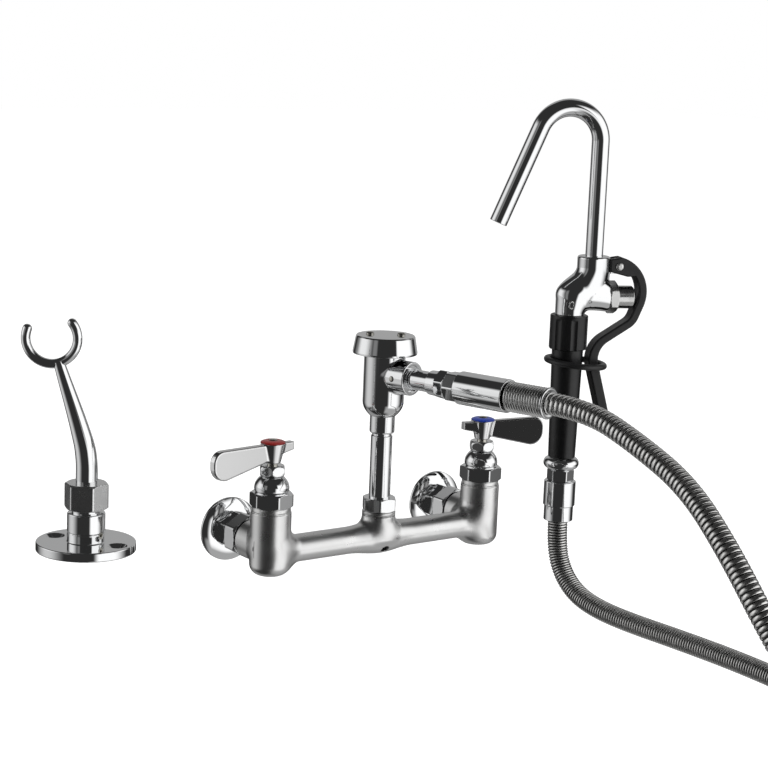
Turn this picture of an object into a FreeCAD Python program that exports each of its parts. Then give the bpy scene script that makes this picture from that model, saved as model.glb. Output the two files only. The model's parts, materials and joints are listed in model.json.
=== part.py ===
import FreeCAD, Part
import Sketcher
import math
import os
import re

# Wall-mounted pot filler faucet with a hose, a hook-nozzle hand-piece and a deck hook.
# Frame: origin on the wall midway between the two inlets, +X to the cold side,
# +Y into the wall and +Z up. Sizes are in millimetres and degrees.

Vector = FreeCAD.Vector
doc = FreeCAD.newDocument("PotFiller")
sheet = doc.addObject("Spreadsheet::Sheet", "Sizes")

drivingSizes = {
    # wall mixer casting
    "inletSpacing": 203.2, "postReach": 62, "postRadius": 15.8, "postDepth": 22, "postTop": 31.8,
    "chinRadius": 9, "rimRadius": 15.1, "rimHeight": 4, "barRadius": 10.8, "barDrop": 4,
    "barBore": 6.5, "bulgeRadius": 13.6, "bulgeHalf": 26, "blendRadius": 8, "armRadius": 15.3,
    "bossRadius": 13.3, "bossTop": 17.5, "valveBore": 9.5, "waterBore": 7,
    "plugRadius": 3.4, "plugSink": 0.9, "plugDepth": 6, "plugLean": 50,
    # wall inlets
    "flangeRadius": 25.4, "flangeRim": 2, "flangeDome": 5.5, "inletHexFlats": 27, "inletHexEnd": 17,
    "inletThread": 9.2, "inletThreadDepth": 12.7, "spigotRadius": 12.4, "spigotEnd": 26,
    "inletWasher": 2, "armCollar": 2.5, "armCollarRadius": 12.2, "armTailRadius": 10.4,
    "couplingFlats": 30.5, "couplingStart": 19, "couplingEnd": 33, "threadPlay": 0.05,
    # valves and their bonnets
    "bonnetFlats": 30, "bonnetHex": 11.5, "domeRadius": 13.5, "domeHeight": 12.4, "domeNeck": 8.6,
    "bonnetSkirt": 12, "skirtRadius": 11.8, "packingFlats": 18.6, "packingHeight": 8.2,
    "packingRing": 3, "spindleRadius": 4, "spindlePlay": 0.05, "cartridgeRadius": 9.3,
    "cartridgeFoot": 5,
    # lever handles
    "hubFoot": 1.6, "hubHeight": 15.4, "hubTopRadius": 9.7, "hubBottomRadius": 6.2, "capRadius": 9.6,
    "capHeight": 2.1, "handleScrew": 3.3, "handleScrewShank": 2, "handleScrewDepth": 14,
    "bladeReach": 58, "bladeTop": 0.4, "bladeRoot": 12.6, "bladeSlope": 13.7, "tipUpper": 9,
    "tipLower": 11, "bladeThick": 6.4, "bladeEdge": 1.6, "stubReach": 19, "stubDepth": 6.6, "leverTurn": 7,
    # riser and vacuum breaker
    "riserRadius": 8.5, "riserBore": 6.3, "riserSeat": 6, "riserNutFlats": 25, "riserNutHeight": 10.7,
    "riserWasher": 3, "breakerBase": 94.2, "breakerRadius": 16.3, "breakerFoot": 10.2,
    "breakerCurve": 11.8, "capLap": 4.2, "breakerBore": 12.4, "breakerFloor": 111,
    "spudRadius": 9.9, "spudHeight": 13.4, "ventSeat": 3, "seatHeight": 3, "seatBore": 6,
    "floatRadius": 10.5, "floatHeight": 4, "floatStem": 2.5, "floatHeadroom": 6.7,
    "breakerCapRim": 25.5, "breakerCapTop": 23.2, "breakerCapBase": 143.8, "breakerCapHeight": 14.6,
    "breakerCapWall": 2, "breakerCapTurn": -36, "capScrewPitch": 24.4, "capScrewHead": 3.2,
    "capScrewShank": 1.6, "capScrewLength": 7, "capPostRadius": 3.4,
    "sidePlugAt": 17.6, "sidePlugRadius": 2.3, "sidePlugDepth": 3.6,
    # outlet line and hose
    "outletHeight": 127.2, "outletTurn": -74, "outletBoss": 13.3, "outletFace": 28.1,
    "faceRing": 2.6, "faceRecess": 2.2, "nippleRadius": 8, "nippleBore": 6, "nippleStart": 20,
    "adapterStart": 46.8, "adapterRadius": 9.8, "adapterHexStart": 55.5,
    "adapterFlats": 20.5, "adapterHexEnd": 64, "hoseNutFlats": 21, "ferruleStart": 75,
    "ferruleRadius": 12.8, "ferruleEnd": 119.5, "hoseCore": 8.2, "guardEnd": 156.2,
    "guardRadius": 11.5, "guardWire": 1.8, "guardTurns": 14, "guardRing": 2.6,
    "hoseRadius": 8.5, "hoseValley": 7.7, "hoseBore": 5.6, "hoseRibs": 84, "hoseLead": 34,
    "hoseRise": 22.6,
    # hand-piece
    "handRight": 186, "handReach": 65, "handBase": -11.4, "handTurn": -22.4,
    "sleeveRadius": 13.4, "sleeveStep": 12.3, "sleeveStepHeight": 12.5, "sleeveHeight": 34.1,
    "endHexFlats": 20, "endHexHeight": 10, "beadRadius": 15, "beadHeight": 10.8,
    "gripTubeRadius": 8.8, "handBore": 6, "gripLength": 92, "gripFoot": 11.4, "gripTop": 13.1,
    "gripCollar": 15.8, "gripCollarHeight": 29, "flutes": 7, "fluteRadius": 6, "fluteDepth": 0.9,
    "socketRadius": 12.2, "neckRadius": 12.4, "neckOffset": 18.7, "neckRise": 48, "tubeSocket": 12,
    "tubeRadius": 7.4, "tubeBore": 6.2, "bendLift": 96, "bendRadius": 27, "bendTurn": 157.5,
    "spoutLength": 85, "actuatorRise": 15, "actuatorBoss": 12.2, "actuatorFace": 31.7,
    "actuatorFlats": 24.5, "actuatorHex": 7.5, "actuatorSpigot": 10, "actuatorThread": 10.2,
    "plungerRadius": 9.6, "plungerBack": 33.2, "plungerDome": 3, "plungerWall": 1, "plungerPlay": 0.05,
    "stemRadius": 2.5, "stemGuide": 2.5,
    "chamberRadius": 8, "valveSeatAt": 12.5, "valveSeatWide": 2.5, "valveSeatBore": 4.2,
    "valveDiscRadius": 6.5, "valveDisc": 2.4, "stemSeal": 2.4, "springWire": 1, "springRadius": 6.6,
    "springTurns": 7,
    # squeeze lever and hold ring
    "pivotOffset": 39.2, "pivotRise": 26.4, "pivotRadius": 2.5, "pivotHead": 3.25, "pivotHeadHeight": 1.8,
    "lugRadius": 6.5, "lugThick": 6, "lugPlay": 0.3, "headBack": 8, "headTop": 6, "headFoot": 4.7,
    "headChin": 8.7, "headStart": 76.8, "headEnd": 35.9, "headPlay": 0.8, "loopOffset": 34.3,
    "loopRise": 4.1, "loopRadius": 27.2, "loopEnd": 22, "leverDrop": 10.4, "shoulderRadius": 14,
    "runLean": 32.5, "leverRun": 22.4, "elbowRadius": 17, "tailLean": 15.5, "leverTail": 43,
    "leverThick": 7, "tailThick": 8.5, "leverWide": 14, "leverEdge": 0.9, "seatGap": 0.3,
    "holdRingRod": 2.6, "holdRingRadius": 24, "holdRingOffset": 7.6, "holdRingHeight": 135.5,
    "holdRingTilt": 5,
    # deck hook
    "deckLeft": 258.7, "deckReach": 61.5, "deckTop": 24.2, "hookTurn": 145, "deckRadius": 35.9,
    "deckThick": 6.8, "deckHolePitch": 53, "deckHole": 3.3, "deckSink": 7.2, "deckSinkDepth": 3.9,
    "deckHoleTurn": -205, "deckPost": 13.65, "deckPostHeight": 21.2, "deckNeck": 10.4,
    "deckNeckHeight": 31, "deckGroove": 7, "setScrewRadius": 2.6, "setScrewHeight": 5.8,
    "setScrewTurn": -210.7, "hookNutFlats": 28.3, "hookNutBase": 24, "hookNutHeight": 19,
    "hookNutTurn": -67, "rodRadius": 7.8, "rodFoot": 10, "rodStraight": 52, "rodPlay": 0.05,
    "rodTip": 4, "forkOffset": 25.9, "forkHeight": 146.7, "forkRadius": 18.35, "forkRod": 3.4,
    "forkFrom": 142, "forkTo": 380, "forkLean": 17.3,
}
for row, (alias, number) in enumerate(drivingSizes.items(), 1):
    sheet.set("A%d" % row, alias)
    sheet.set("B%d" % row, str(number))
    sheet.setAlias("B%d" % row, alias)
doc.recompute()

functionNames = "placement|vector|rotation|sin|cos|tan|sqrt|max|min|abs"


def bound(text):
    """An expression in which every plain name is a cell of the sheet."""
    return re.sub(r"(?<![\w.])(?!(?:%s)\b)[A-Za-z]\w*" % functionNames, r"Sizes.\g<0>", str(text))


def number(text):
    found = sheet.evalExpression(bound(text))
    return float(found.Value) if hasattr(found, "Value") else float(found)


def frameAt(x, y, z, yaw="0", pitch="0", roll="0"):
    return "placement(vector(%s; %s; %s); rotation(%s; %s; %s))" % (x, y, z, yaw, pitch, roll)


# Local frames: each turned piece is drawn along the local Z of its frame
handFrame = frameAt("handRight", "-handReach", "handBase", "handTurn")
gripEnd = "sleeveHeight + endHexHeight + beadHeight"
bodyBase = gripEnd + " + gripLength + gripCollarHeight"
neckTop = bodyBase + " + neckRise"
actuatorHeight = bodyBase + " + actuatorRise"
pivotHeight = actuatorHeight + " + pivotRise"
deckFrame = frameAt("-deckLeft", "-deckReach", "deckTop", "hookTurn")
riserFrame = frameAt("0", "-postReach", "0")
capFrame = frameAt("0", "-postReach", "0", "breakerCapTurn")
outletFrame = frameAt("0", "-postReach", "outletHeight", "outletTurn", "90")
frames = {
    "wall": frameAt("0", "0", "0"),
    "hotPost": frameAt("-inletSpacing / 2", "-postReach", "0"),
    "coldPost": frameAt("inletSpacing / 2", "-postReach", "0"),
    "hotInlet": frameAt("-inletSpacing / 2", "0", "0", "-90", "90"),
    "coldInlet": frameAt("inletSpacing / 2", "0", "0", "-90", "90"),
    "hotLever": frameAt("-inletSpacing / 2", "-postReach", "0", "180 + leverTurn"),
    "coldLever": frameAt("inletSpacing / 2", "-postReach", "0", "-leverTurn"),
    "bar": frameAt("-inletSpacing / 2", "-postReach", "-barDrop", "0", "90"),
    "barPlug": frameAt("0", "-postReach", "-barDrop", "0", "0", "180 - plugLean"),
    "riser": riserFrame,
    "capScrewLeft": capFrame + " * " + frameAt("-capScrewPitch / 2", "0", "0"),
    "capScrewRight": capFrame + " * " + frameAt("capScrewPitch / 2", "0", "0"),
    "outlet": outletFrame,
    "sidePlug": outletFrame + " * " + frameAt("0", "0", "sidePlugAt", "0", "0", "90"),
    "hand": handFrame,
    "actuator": handFrame + " * " + frameAt("0", "0", actuatorHeight, "0", "90"),
    "pivot": handFrame + " * " + frameAt("pivotOffset", "0", pivotHeight, "0", "0", "90"),
    "holdRing": handFrame + " * " + frameAt("holdRingOffset", "0", "holdRingHeight", "0", "holdRingTilt"),
    "deck": deckFrame,
    "fork": deckFrame + " * " + frameAt("forkOffset", "0", "forkHeight", "0", "0", "90"),
    "setScrew": deckFrame + " * " + frameAt("0", "0", "setScrewHeight", "setScrewTurn", "90"),
}

nodes = []


def node(label, piece):
    """Keeps a finished sub-part under the name that its file gets."""
    piece.Label = label
    nodes.append(piece)
    return piece


def put(piece, frame, along="0", turn="0"):
    shift = frameAt("0", "0", along, turn)
    piece.setExpression("Placement", bound(frames[frame] + " * " + shift))
    return piece


def originPlane(body, role):
    return [plane for plane in body.Origin.OriginFeatures if plane.Role == role][0]


def pin(sketch, geometry, end, point):
    """Ties one sketch point to the expressions of its two coordinates."""
    for kind, text, axis in (("DistanceX", point[0], -2), ("DistanceY", point[1], -1)):
        distance = number(text)
        if abs(distance) < 1e-9:
            sketch.addConstraint(Sketcher.Constraint("PointOnObject", geometry, end, axis))
        else:
            index = sketch.addConstraint(Sketcher.Constraint(kind, -1, 1, geometry, end, distance))
            sketch.setExpression("Constraints[%d]" % index, bound(text))


def drawOutline(sketch, outline, closed=True):
    """Draws lines between the points, and an arc through each point marked as one."""
    spots = [Vector(number(point[0]), number(point[1]), 0) for point in outline]
    corners = [index for index, point in enumerate(outline) if len(point) == 2]
    pairs = list(zip(corners, corners[1:] + corners[:1]))
    drawn = []
    for first, second in pairs if closed else pairs[:-1]:
        middle = first + 1
        if middle % len(outline) == second:
            drawn.append((sketch.addGeometry(Part.LineSegment(spots[first], spots[second])), 1, 2))
            continue
        left = (spots[middle] - spots[first]).cross(spots[second] - spots[middle]).z > 0
        ends = (spots[first], spots[second]) if left else (spots[second], spots[first])
        arc = sketch.addGeometry(Part.Arc(ends[0], spots[middle], ends[1]))
        drawn.append((arc, 1, 2) if left else (arc, 2, 1))
        through = sketch.addGeometry(Part.Point(spots[middle]), True)
        sketch.addConstraint(Sketcher.Constraint("PointOnObject", through, 1, arc))
        pin(sketch, through, 1, outline[middle])
    for place, (piece, start, end) in enumerate(drawn):
        pin(sketch, piece, start, outline[corners[place]])
        if closed or place + 1 < len(drawn):
            following = drawn[(place + 1) % len(drawn)]
            sketch.addConstraint(Sketcher.Constraint("Coincident", piece, end, following[0], following[1]))
    if not closed:
        pin(sketch, drawn[-1][0], drawn[-1][2], outline[corners[-1]])


def turned(label, frame, outline, along="0"):
    """A body of revolution: the outline's points are (radius, height)."""
    body = doc.addObject("PartDesign::Body", label)
    sketch = body.newObject("Sketcher::SketchObject", label + "Outline")
    sketch.AttachmentSupport = [(originPlane(body, "XZ_Plane"), "")]
    sketch.MapMode = "FlatFace"
    drawOutline(sketch, outline)
    turn = body.newObject("PartDesign::Revolution", label + "Turn")
    turn.Profile = (sketch, [""])
    turn.ReferenceAxis = (sketch, ["V_Axis"])
    turn.Angle = 360
    sketch.Visibility = False
    return put(body, frame, along)


def padded(label, frame, outline, thickness, edge=None, bevel=None):
    """A plate across the frame's XZ plane, with its outer edges rounded or bevelled."""
    body = doc.addObject("PartDesign::Body", label)
    sketch = body.newObject("Sketcher::SketchObject", label + "Outline")
    sketch.AttachmentSupport = [(originPlane(body, "XZ_Plane"), "")]
    sketch.MapMode = "FlatFace"
    drawOutline(sketch, outline)
    pad = body.newObject("PartDesign::Pad", label + "Pad")
    pad.Profile = (sketch, [""])
    pad.SideType = "Symmetric"
    pad.setExpression("Length", bound(thickness))
    if edge or bevel:
        doc.recompute()
        faces = ["Face%d" % (index + 1) for index, face in enumerate(pad.Shape.Faces)
                 if abs(face.normalAt(0, 0).y) > 0.99]
        eased = body.newObject("PartDesign::Fillet" if edge else "PartDesign::Chamfer", label + "Edge")
        eased.Base = (pad, faces)
        eased.setExpression("Radius" if edge else "Size", bound(edge or bevel))
    return put(body, frame)


def rod(label, frame, radius, low, high):
    piece = doc.addObject("Part::Cylinder", label)
    piece.setExpression("Radius", bound(radius))
    piece.setExpression("Height", bound("(%s) - (%s)" % (high, low)))
    return put(piece, frame, low)


def tube(label, frame, inner, outer, low, high):
    return turned(label, frame, [(inner, low), (outer, low), (outer, high), (inner, high)])


def joined(label, pieces):
    whole = doc.addObject("Part::MultiFuse", label)
    whole.Shapes = pieces
    return whole


def cut(label, base, tools):
    whole = doc.addObject("Part::Cut", label)
    whole.Base = base
    whole.Tool = tools[0] if len(tools) == 1 else joined(label + "Tools", tools)
    return whole


def hexagon(label, frame, flats, low, high, turn="0"):
    """A hexagon bar whose corners are turned down at both ends."""
    bar = doc.addObject("Part::Prism", label + "Bar")
    bar.Polygon = 6
    bar.setExpression("Circumradius", bound("(%s) / 2 / cos(30)" % flats))
    bar.setExpression("Height", bound("(%s) - (%s)" % (high, low)))
    put(bar, frame, low, turn)
    half = "(%s) / 2" % flats
    bevel = "(%s) * 0.05" % flats
    envelope = turned(label + "Bevel", frame, [
        ("0", low), (half, low), ("(%s) / 2 / cos(30) + 0.01" % flats, "%s + %s" % (low, bevel)),
        ("(%s) / 2 / cos(30) + 0.01" % flats, "%s - %s" % (high, bevel)), (half, high), ("0", high)])
    whole = doc.addObject("Part::Common", label)
    whole.Base = bar
    whole.Tool = envelope
    return whole


def corner(radius):
    """How far the middle of a quarter round lies in from its corner."""
    return "(%s) * (1 - cos(45))" % radius


def filleted(label, base, radius, choose):
    """Rounds the edges that choose() accepts, on a finished boolean."""
    doc.recompute()
    size = number(radius)
    rounded = doc.addObject("Part::Fillet", label)
    rounded.Base = base
    rounded.Edges = [(index, size, size) for index, edge in enumerate(base.Shape.Edges, 1) if choose(edge)]
    return rounded


def mixerCasting():
    """Two posts, the crossbar with its swollen middle, the inlet arms and the riser boss."""
    chin = corner("chinRadius")
    armFace = "spigotEnd + inletWasher"
    pieces = []
    bores = []
    for side in ("hot", "cold"):
        pieces.append(turned(side + "Post", side + "Post", [
            ("0", "-postDepth"), ("postRadius - chinRadius", "-postDepth"),
            ("postRadius - " + chin, chin + " - postDepth", "arc"),
            ("postRadius", "chinRadius - postDepth"), ("postRadius", "postTop - rimHeight"),
            ("rimRadius", "postTop - rimHeight + 0.5"), ("rimRadius", "postTop"), ("0", "postTop")]))
        pieces.append(turned(side + "Arm", side + "Inlet", [
            ("0", armFace), ("armCollarRadius", armFace), ("armCollarRadius", armFace + " + armCollar"),
            ("armTailRadius", armFace + " + armCollar"), ("armTailRadius", "couplingEnd + 0.4"),
            ("armRadius - 1", "couplingEnd + 0.4"), ("armRadius", "couplingEnd + 1.4"),
            ("armRadius", "postReach"), ("0", "postReach")]))
        bores.append(rod(side + "ValveBore", side + "Post", "valveBore", "-postDepth / 2", "postTop"))
        bores.append(rod(side + "SkirtBore", side + "Post", "skirtRadius + threadPlay",
                         "postTop - bonnetSkirt - 0.5", "postTop"))
        bores.append(rod(side + "ArmBore", side + "Inlet", "waterBore", armFace, "postReach"))
    pieces.append(turned("crossbar", "bar", [
        ("0", "0"), ("barRadius", "0"), ("barRadius", "inletSpacing / 2 - bulgeHalf"),
        ("bulgeRadius", "inletSpacing / 2", "arc"), ("barRadius", "inletSpacing / 2 + bulgeHalf"),
        ("barRadius", "inletSpacing"), ("0", "inletSpacing")]))
    pieces.append(rod("riserBoss", "riser", "bossRadius", "-barDrop", "bossTop"))
    bores.append(rod("barBoreTool", "bar", "barBore", "0", "inletSpacing"))
    bores.append(rod("riserBoreTool", "riser", "riserBore", "-barDrop", "bossTop"))
    bores.append(rod("riserPipeSeat", "riser", "riserRadius", "bossTop - riserSeat * 2", "bossTop"))
    bores.append(rod("riserWasherSeat", "riser", "riserNutFlats / 2 - 1.6", "bossTop - riserSeat", "bossTop"))
    bores.append(rod("plugHole", "barPlug", "plugRadius", "bulgeRadius - plugDepth", "bulgeRadius + 1"))
    solid = joined("castingSolid", pieces)

    def isSeam(edge):
        box = edge.BoundBox
        away = abs((box.XMin + box.XMax) / 2) > number("inletSpacing / 4")
        return away and not isinstance(edge.Curve, (Part.Line, Part.Circle))

    spare = "(postReach - postRadius - couplingEnd - 1.4) * 0.68"
    blended = filleted("castingBlend", solid, "min(blendRadius; %s)" % spare, isSeam)
    node("mixer_body", cut("mixer_body", blended, bores))
    foot = "bulgeRadius - plugDepth"
    top = "bulgeRadius - plugSink"
    plug = turned("plugBody", "barPlug", [
        ("0", foot), ("plugRadius", foot), ("plugRadius", top + " - 0.4"), ("plugRadius - 0.4", top), ("0", top)])
    socket = doc.addObject("Part::Prism", "plugSocket")
    socket.Polygon = 6
    socket.setExpression("Circumradius", bound("plugRadius * 0.6"))
    socket.setExpression("Height", bound("plugDepth / 2"))
    put(socket, "barPlug", top + " - plugDepth / 2 + 0.5")
    node("drain_plug", cut("drainPlugCut", plug, [socket]))


def wallInlet(side):
    """Round wall flange with its hexagon and thread, washer and coupling nut."""
    frame = side + "Inlet"
    flange = turned(side + "Flange", frame, [
        ("0", "0"), ("flangeRadius", "0"), ("flangeRadius", "flangeRim"),
        ("flangeRadius * 0.78", "flangeDome * 0.8", "arc"), ("inletHexFlats / 2", "flangeDome"),
        ("inletHexFlats / 2 - 1", "spigotEnd / 2"), ("spigotRadius - 1.2", "spigotEnd / 2"),
        ("spigotRadius - 1.2", "inletHexEnd + 1.5"), ("spigotRadius", "inletHexEnd + 2.2"),
        ("spigotRadius", "spigotEnd"), ("0", "spigotEnd")])
    hexBar = hexagon(side + "FlangeHex", frame, "inletHexFlats", "flangeDome - 1", "inletHexEnd", "30")
    bores = [rod(side + "InletThread", frame, "inletThread", "0", "inletThreadDepth"),
             rod(side + "InletBore", frame, "waterBore", "0", "spigotEnd")]
    node(side + "_wall_flange", cut(side + "FlangeCut", joined(side + "FlangeSolid", [flange, hexBar]), bores))
    node(side + "_inlet_washer", tube(side + "Washer", frame, "waterBore", "spigotRadius - 0.4",
                                      "spigotEnd", "spigotEnd + inletWasher"))
    nutBar = hexagon(side + "CouplingHex", frame, "couplingFlats", "couplingStart", "couplingEnd", "30")
    lip = "spigotEnd + inletWasher + armCollar + 0.1"
    hollow = turned(side + "CouplingHollow", frame, [
        ("0", "couplingStart"), ("spigotRadius + threadPlay", "couplingStart"),
        ("spigotRadius + threadPlay", lip), ("armTailRadius + threadPlay", lip),
        ("armTailRadius + threadPlay", "couplingEnd"), ("0", "couplingEnd")])
    node(side + "_coupling_nut", cut(side + "CouplingCut", nutBar, [hollow]))


bonnetBase = "postTop"
domeBase = bonnetBase + " + bonnetHex"
packingBase = domeBase + " + domeHeight + 0.6"
hubBase = packingBase + " + packingHeight + hubFoot"
hubTop = hubBase + " + hubHeight"


def valve(side):
    """Cartridge, bonnet with its onion dome, packing ring and packing nut."""
    frame = side + "Post"
    cartridgeTop = "postTop - bonnetSkirt"
    node(side + "_cartridge", turned(side + "Cartridge", frame, [
        ("spindleRadius + spindlePlay", "cartridgeFoot + 4"), ("spindleRadius + spindlePlay", cartridgeTop),
        ("cartridgeRadius", cartridgeTop), ("cartridgeRadius", "cartridgeFoot + 8"),
        ("cartridgeRadius - 1.2", "cartridgeFoot + 8"), ("cartridgeRadius - 1.2", "cartridgeFoot + 3"),
        ("cartridgeRadius", "cartridgeFoot + 3"), ("cartridgeRadius", "cartridgeFoot"),
        ("waterBore - 1", "cartridgeFoot"), ("waterBore - 1", "cartridgeFoot + 4")]))
    skirt = turned(side + "Dome", frame, [
        ("0", "postTop - bonnetSkirt"), ("skirtRadius", "postTop - bonnetSkirt"), ("skirtRadius", domeBase),
        ("domeRadius - 0.7", domeBase), ("domeRadius", domeBase + " + domeHeight * 0.34", "arc"),
        ("domeRadius * 0.87", domeBase + " + domeHeight * 0.72"), ("domeNeck", domeBase + " + domeHeight"),
        ("domeNeck - 1.6", domeBase + " + domeHeight"), ("domeNeck - 1.6", packingBase + " + 2.5"),
        ("0", packingBase + " + 2.5")])
    hexBar = hexagon(side + "BonnetHex", frame, "bonnetFlats", bonnetBase, domeBase, "30")
    through = turned(side + "BonnetBore", frame, [
        ("0", "postTop - bonnetSkirt"), ("spindleRadius + 2.5", "postTop - bonnetSkirt"),
        ("spindleRadius + 2.5", "postTop + 3"), ("spindleRadius + spindlePlay", "postTop + 5"),
        ("spindleRadius + spindlePlay", packingBase + " + 2.5"), ("0", packingBase + " + 2.5")])
    node(side + "_bonnet", cut(side + "BonnetCut", joined(side + "BonnetSolid", [skirt, hexBar]), [through]))
    packingLow = packingBase + " + 2.5"
    node(side + "_packing_ring", tube(side + "Packing", frame, "spindleRadius + spindlePlay", "domeNeck - 1.6",
                                      packingLow, packingLow + " + packingRing"))
    nutTop = packingBase + " + packingHeight"
    half = "packingFlats / 2"
    belly = turned(side + "PackingBelly", frame, [
        ("0", packingBase), (half + " - 0.8", packingBase),
        ("packingFlats / 2 / cos(30)", packingBase + " + packingHeight * 0.48", "arc"),
        (half + " - 1.6", nutTop), ("0", nutTop)])
    bar = doc.addObject("Part::Prism", side + "PackingBar")
    bar.Polygon = 6
    bar.setExpression("Circumradius", bound("packingFlats / 2 / cos(30)"))
    bar.setExpression("Height", bound("packingHeight"))
    put(bar, frame, packingBase, "30")
    shell = doc.addObject("Part::Common", side + "PackingShell")
    shell.Base = bar
    shell.Tool = belly
    hollow = turned(side + "PackingHollow", frame, [
        ("0", packingBase), ("domeNeck - 1.6 + threadPlay", packingBase),
        ("domeNeck - 1.6 + threadPlay", packingLow + " + packingRing"),
        ("spindleRadius + spindlePlay", packingLow + " + packingRing"),
        ("spindleRadius + spindlePlay", nutTop), ("0", nutTop)])
    node(side + "_packing_nut", cut(side + "PackingCut", shell, [hollow]))


def handle(side):
    """Spindle, lever with its taper hub, blade and stub, index cap and screw."""
    frame = side + "Lever"
    screwFoot = hubTop + " + capHeight - 0.6 - handleScrewDepth"
    spindle = turned(side + "Spindle", frame, [
        ("0", "cartridgeFoot + 6"), ("spindleRadius", "cartridgeFoot + 6"), ("spindleRadius", hubTop + " - 3"),
        ("0", hubTop + " - 3")])
    tapped = rod(side + "SpindleTap", frame, "handleScrewShank", screwFoot, hubTop)
    node(side + "_spindle", cut(side + "SpindleCut", spindle, [tapped]))
    top = hubTop + " - bladeTop"
    root = "hubBottomRadius * 0.4"
    lowX = "bladeReach - tipLower * (1 + sin(bladeSlope))"
    lowZ = top + " - bladeRoot - (%s - %s) * tan(bladeSlope)" % (lowX, root)
    centreZ = lowZ + " + tipLower * cos(bladeSlope)"
    half = "(90 + bladeSlope) / 2"
    blade = padded(side + "Blade", frame, [
        (root, top), ("bladeReach - tipUpper", top),
        ("bladeReach - " + corner("tipUpper"), top + " - " + corner("tipUpper"), "arc"),
        ("bladeReach", top + " - tipUpper"), ("bladeReach", centreZ),
        ("bladeReach - tipLower * (1 - cos(%s))" % half, centreZ + " - tipLower * sin(%s)" % half, "arc"),
        (lowX, lowZ), (root, top + " - bladeRoot")], "bladeThick", "bladeEdge")
    stub = padded(side + "Stub", frame, [
        ("-hubBottomRadius * 0.4", top), ("-hubBottomRadius * 0.4", top + " - bladeRoot"),
        ("-stubReach", top + " - stubDepth"), ("-stubReach", top)], "bladeThick", "bladeEdge * 0.6")
    hub = turned(side + "Hub", frame, [
        ("0", hubBase), ("hubBottomRadius", hubBase), ("hubTopRadius", hubTop + " - 0.6"),
        ("hubTopRadius - 0.4", hubTop), ("0", hubTop)])
    bores = [rod(side + "HubSocket", frame, "spindleRadius", hubBase, hubTop + " - 3"),
             rod(side + "HubScrewHole", frame, "handleScrewShank", hubBase, hubTop)]
    node(side + "_lever", cut(side + "LeverCut", joined(side + "LeverSolid", [hub, blade, stub]), bores))
    cap = turned(side + "IndexCap", frame, [
        ("handleScrewShank", hubTop), ("capRadius", hubTop), ("capRadius", hubTop + " + capHeight * 0.45"),
        ("capRadius * 0.72", hubTop + " + capHeight * 0.93", "arc"), ("handleScrew + 0.4", hubTop + " + capHeight"),
        ("handleScrew + 0.2", hubTop + " + capHeight - 0.6"), ("handleScrewShank", hubTop + " + capHeight - 0.6")])
    node(side + "_index_cap", cap)
    head = hubTop + " + capHeight - 0.6"
    node(side + "_handle_screw", turned(side + "HandleScrew", frame, [
        ("0", screwFoot), ("handleScrewShank", screwFoot), ("handleScrewShank", head), ("handleScrew", head),
        ("handleScrew", head + " + 0.7"), ("handleScrew * 0.7", head + " + 1.4", "arc"),
        ("handleScrew * 0.25", head + " + 1.7"), ("0", head + " + 1.7")]))


def riserLine():
    """Washer, hexagon nut and the upright pipe with the collar under the vacuum breaker."""
    seat = "bossTop - riserSeat"
    thread = "riserNutFlats / 2 - 1.6"
    node("riser_washer", tube("riserWasherRing", "riser", "riserRadius", thread + " - 0.1",
                              seat, seat + " + riserWasher"))
    spigot = rod("riserNutSpigot", "riser", thread + " - threadPlay", seat + " + riserWasher", "bossTop + 1")
    nutTop = "bossTop + riserNutHeight"
    bar = hexagon("riserNutHex", "riser", "riserNutFlats", "bossTop", nutTop)
    hole = rod("riserNutHole", "riser", "riserRadius + threadPlay", seat, nutTop)
    node("riser_nut", cut("riserNutCut", joined("riserNutSolid", [spigot, bar]), [hole]))
    spud = "breakerBase - spudHeight"
    node("riser_pipe", turned("riserPipe", "riser", [
        ("riserBore", "bossTop - riserSeat * 2"), ("riserRadius", "bossTop - riserSeat * 2"),
        ("riserRadius", spud), ("spudRadius - 0.8", spud), ("spudRadius", spud + " + 0.8"),
        ("spudRadius", "breakerBase"), ("riserRadius", "breakerBase"), ("riserRadius", "breakerBase + 5"),
        ("riserBore", "breakerBase + 5")]))


breakerTop = "breakerCapBase + capLap"


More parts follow.
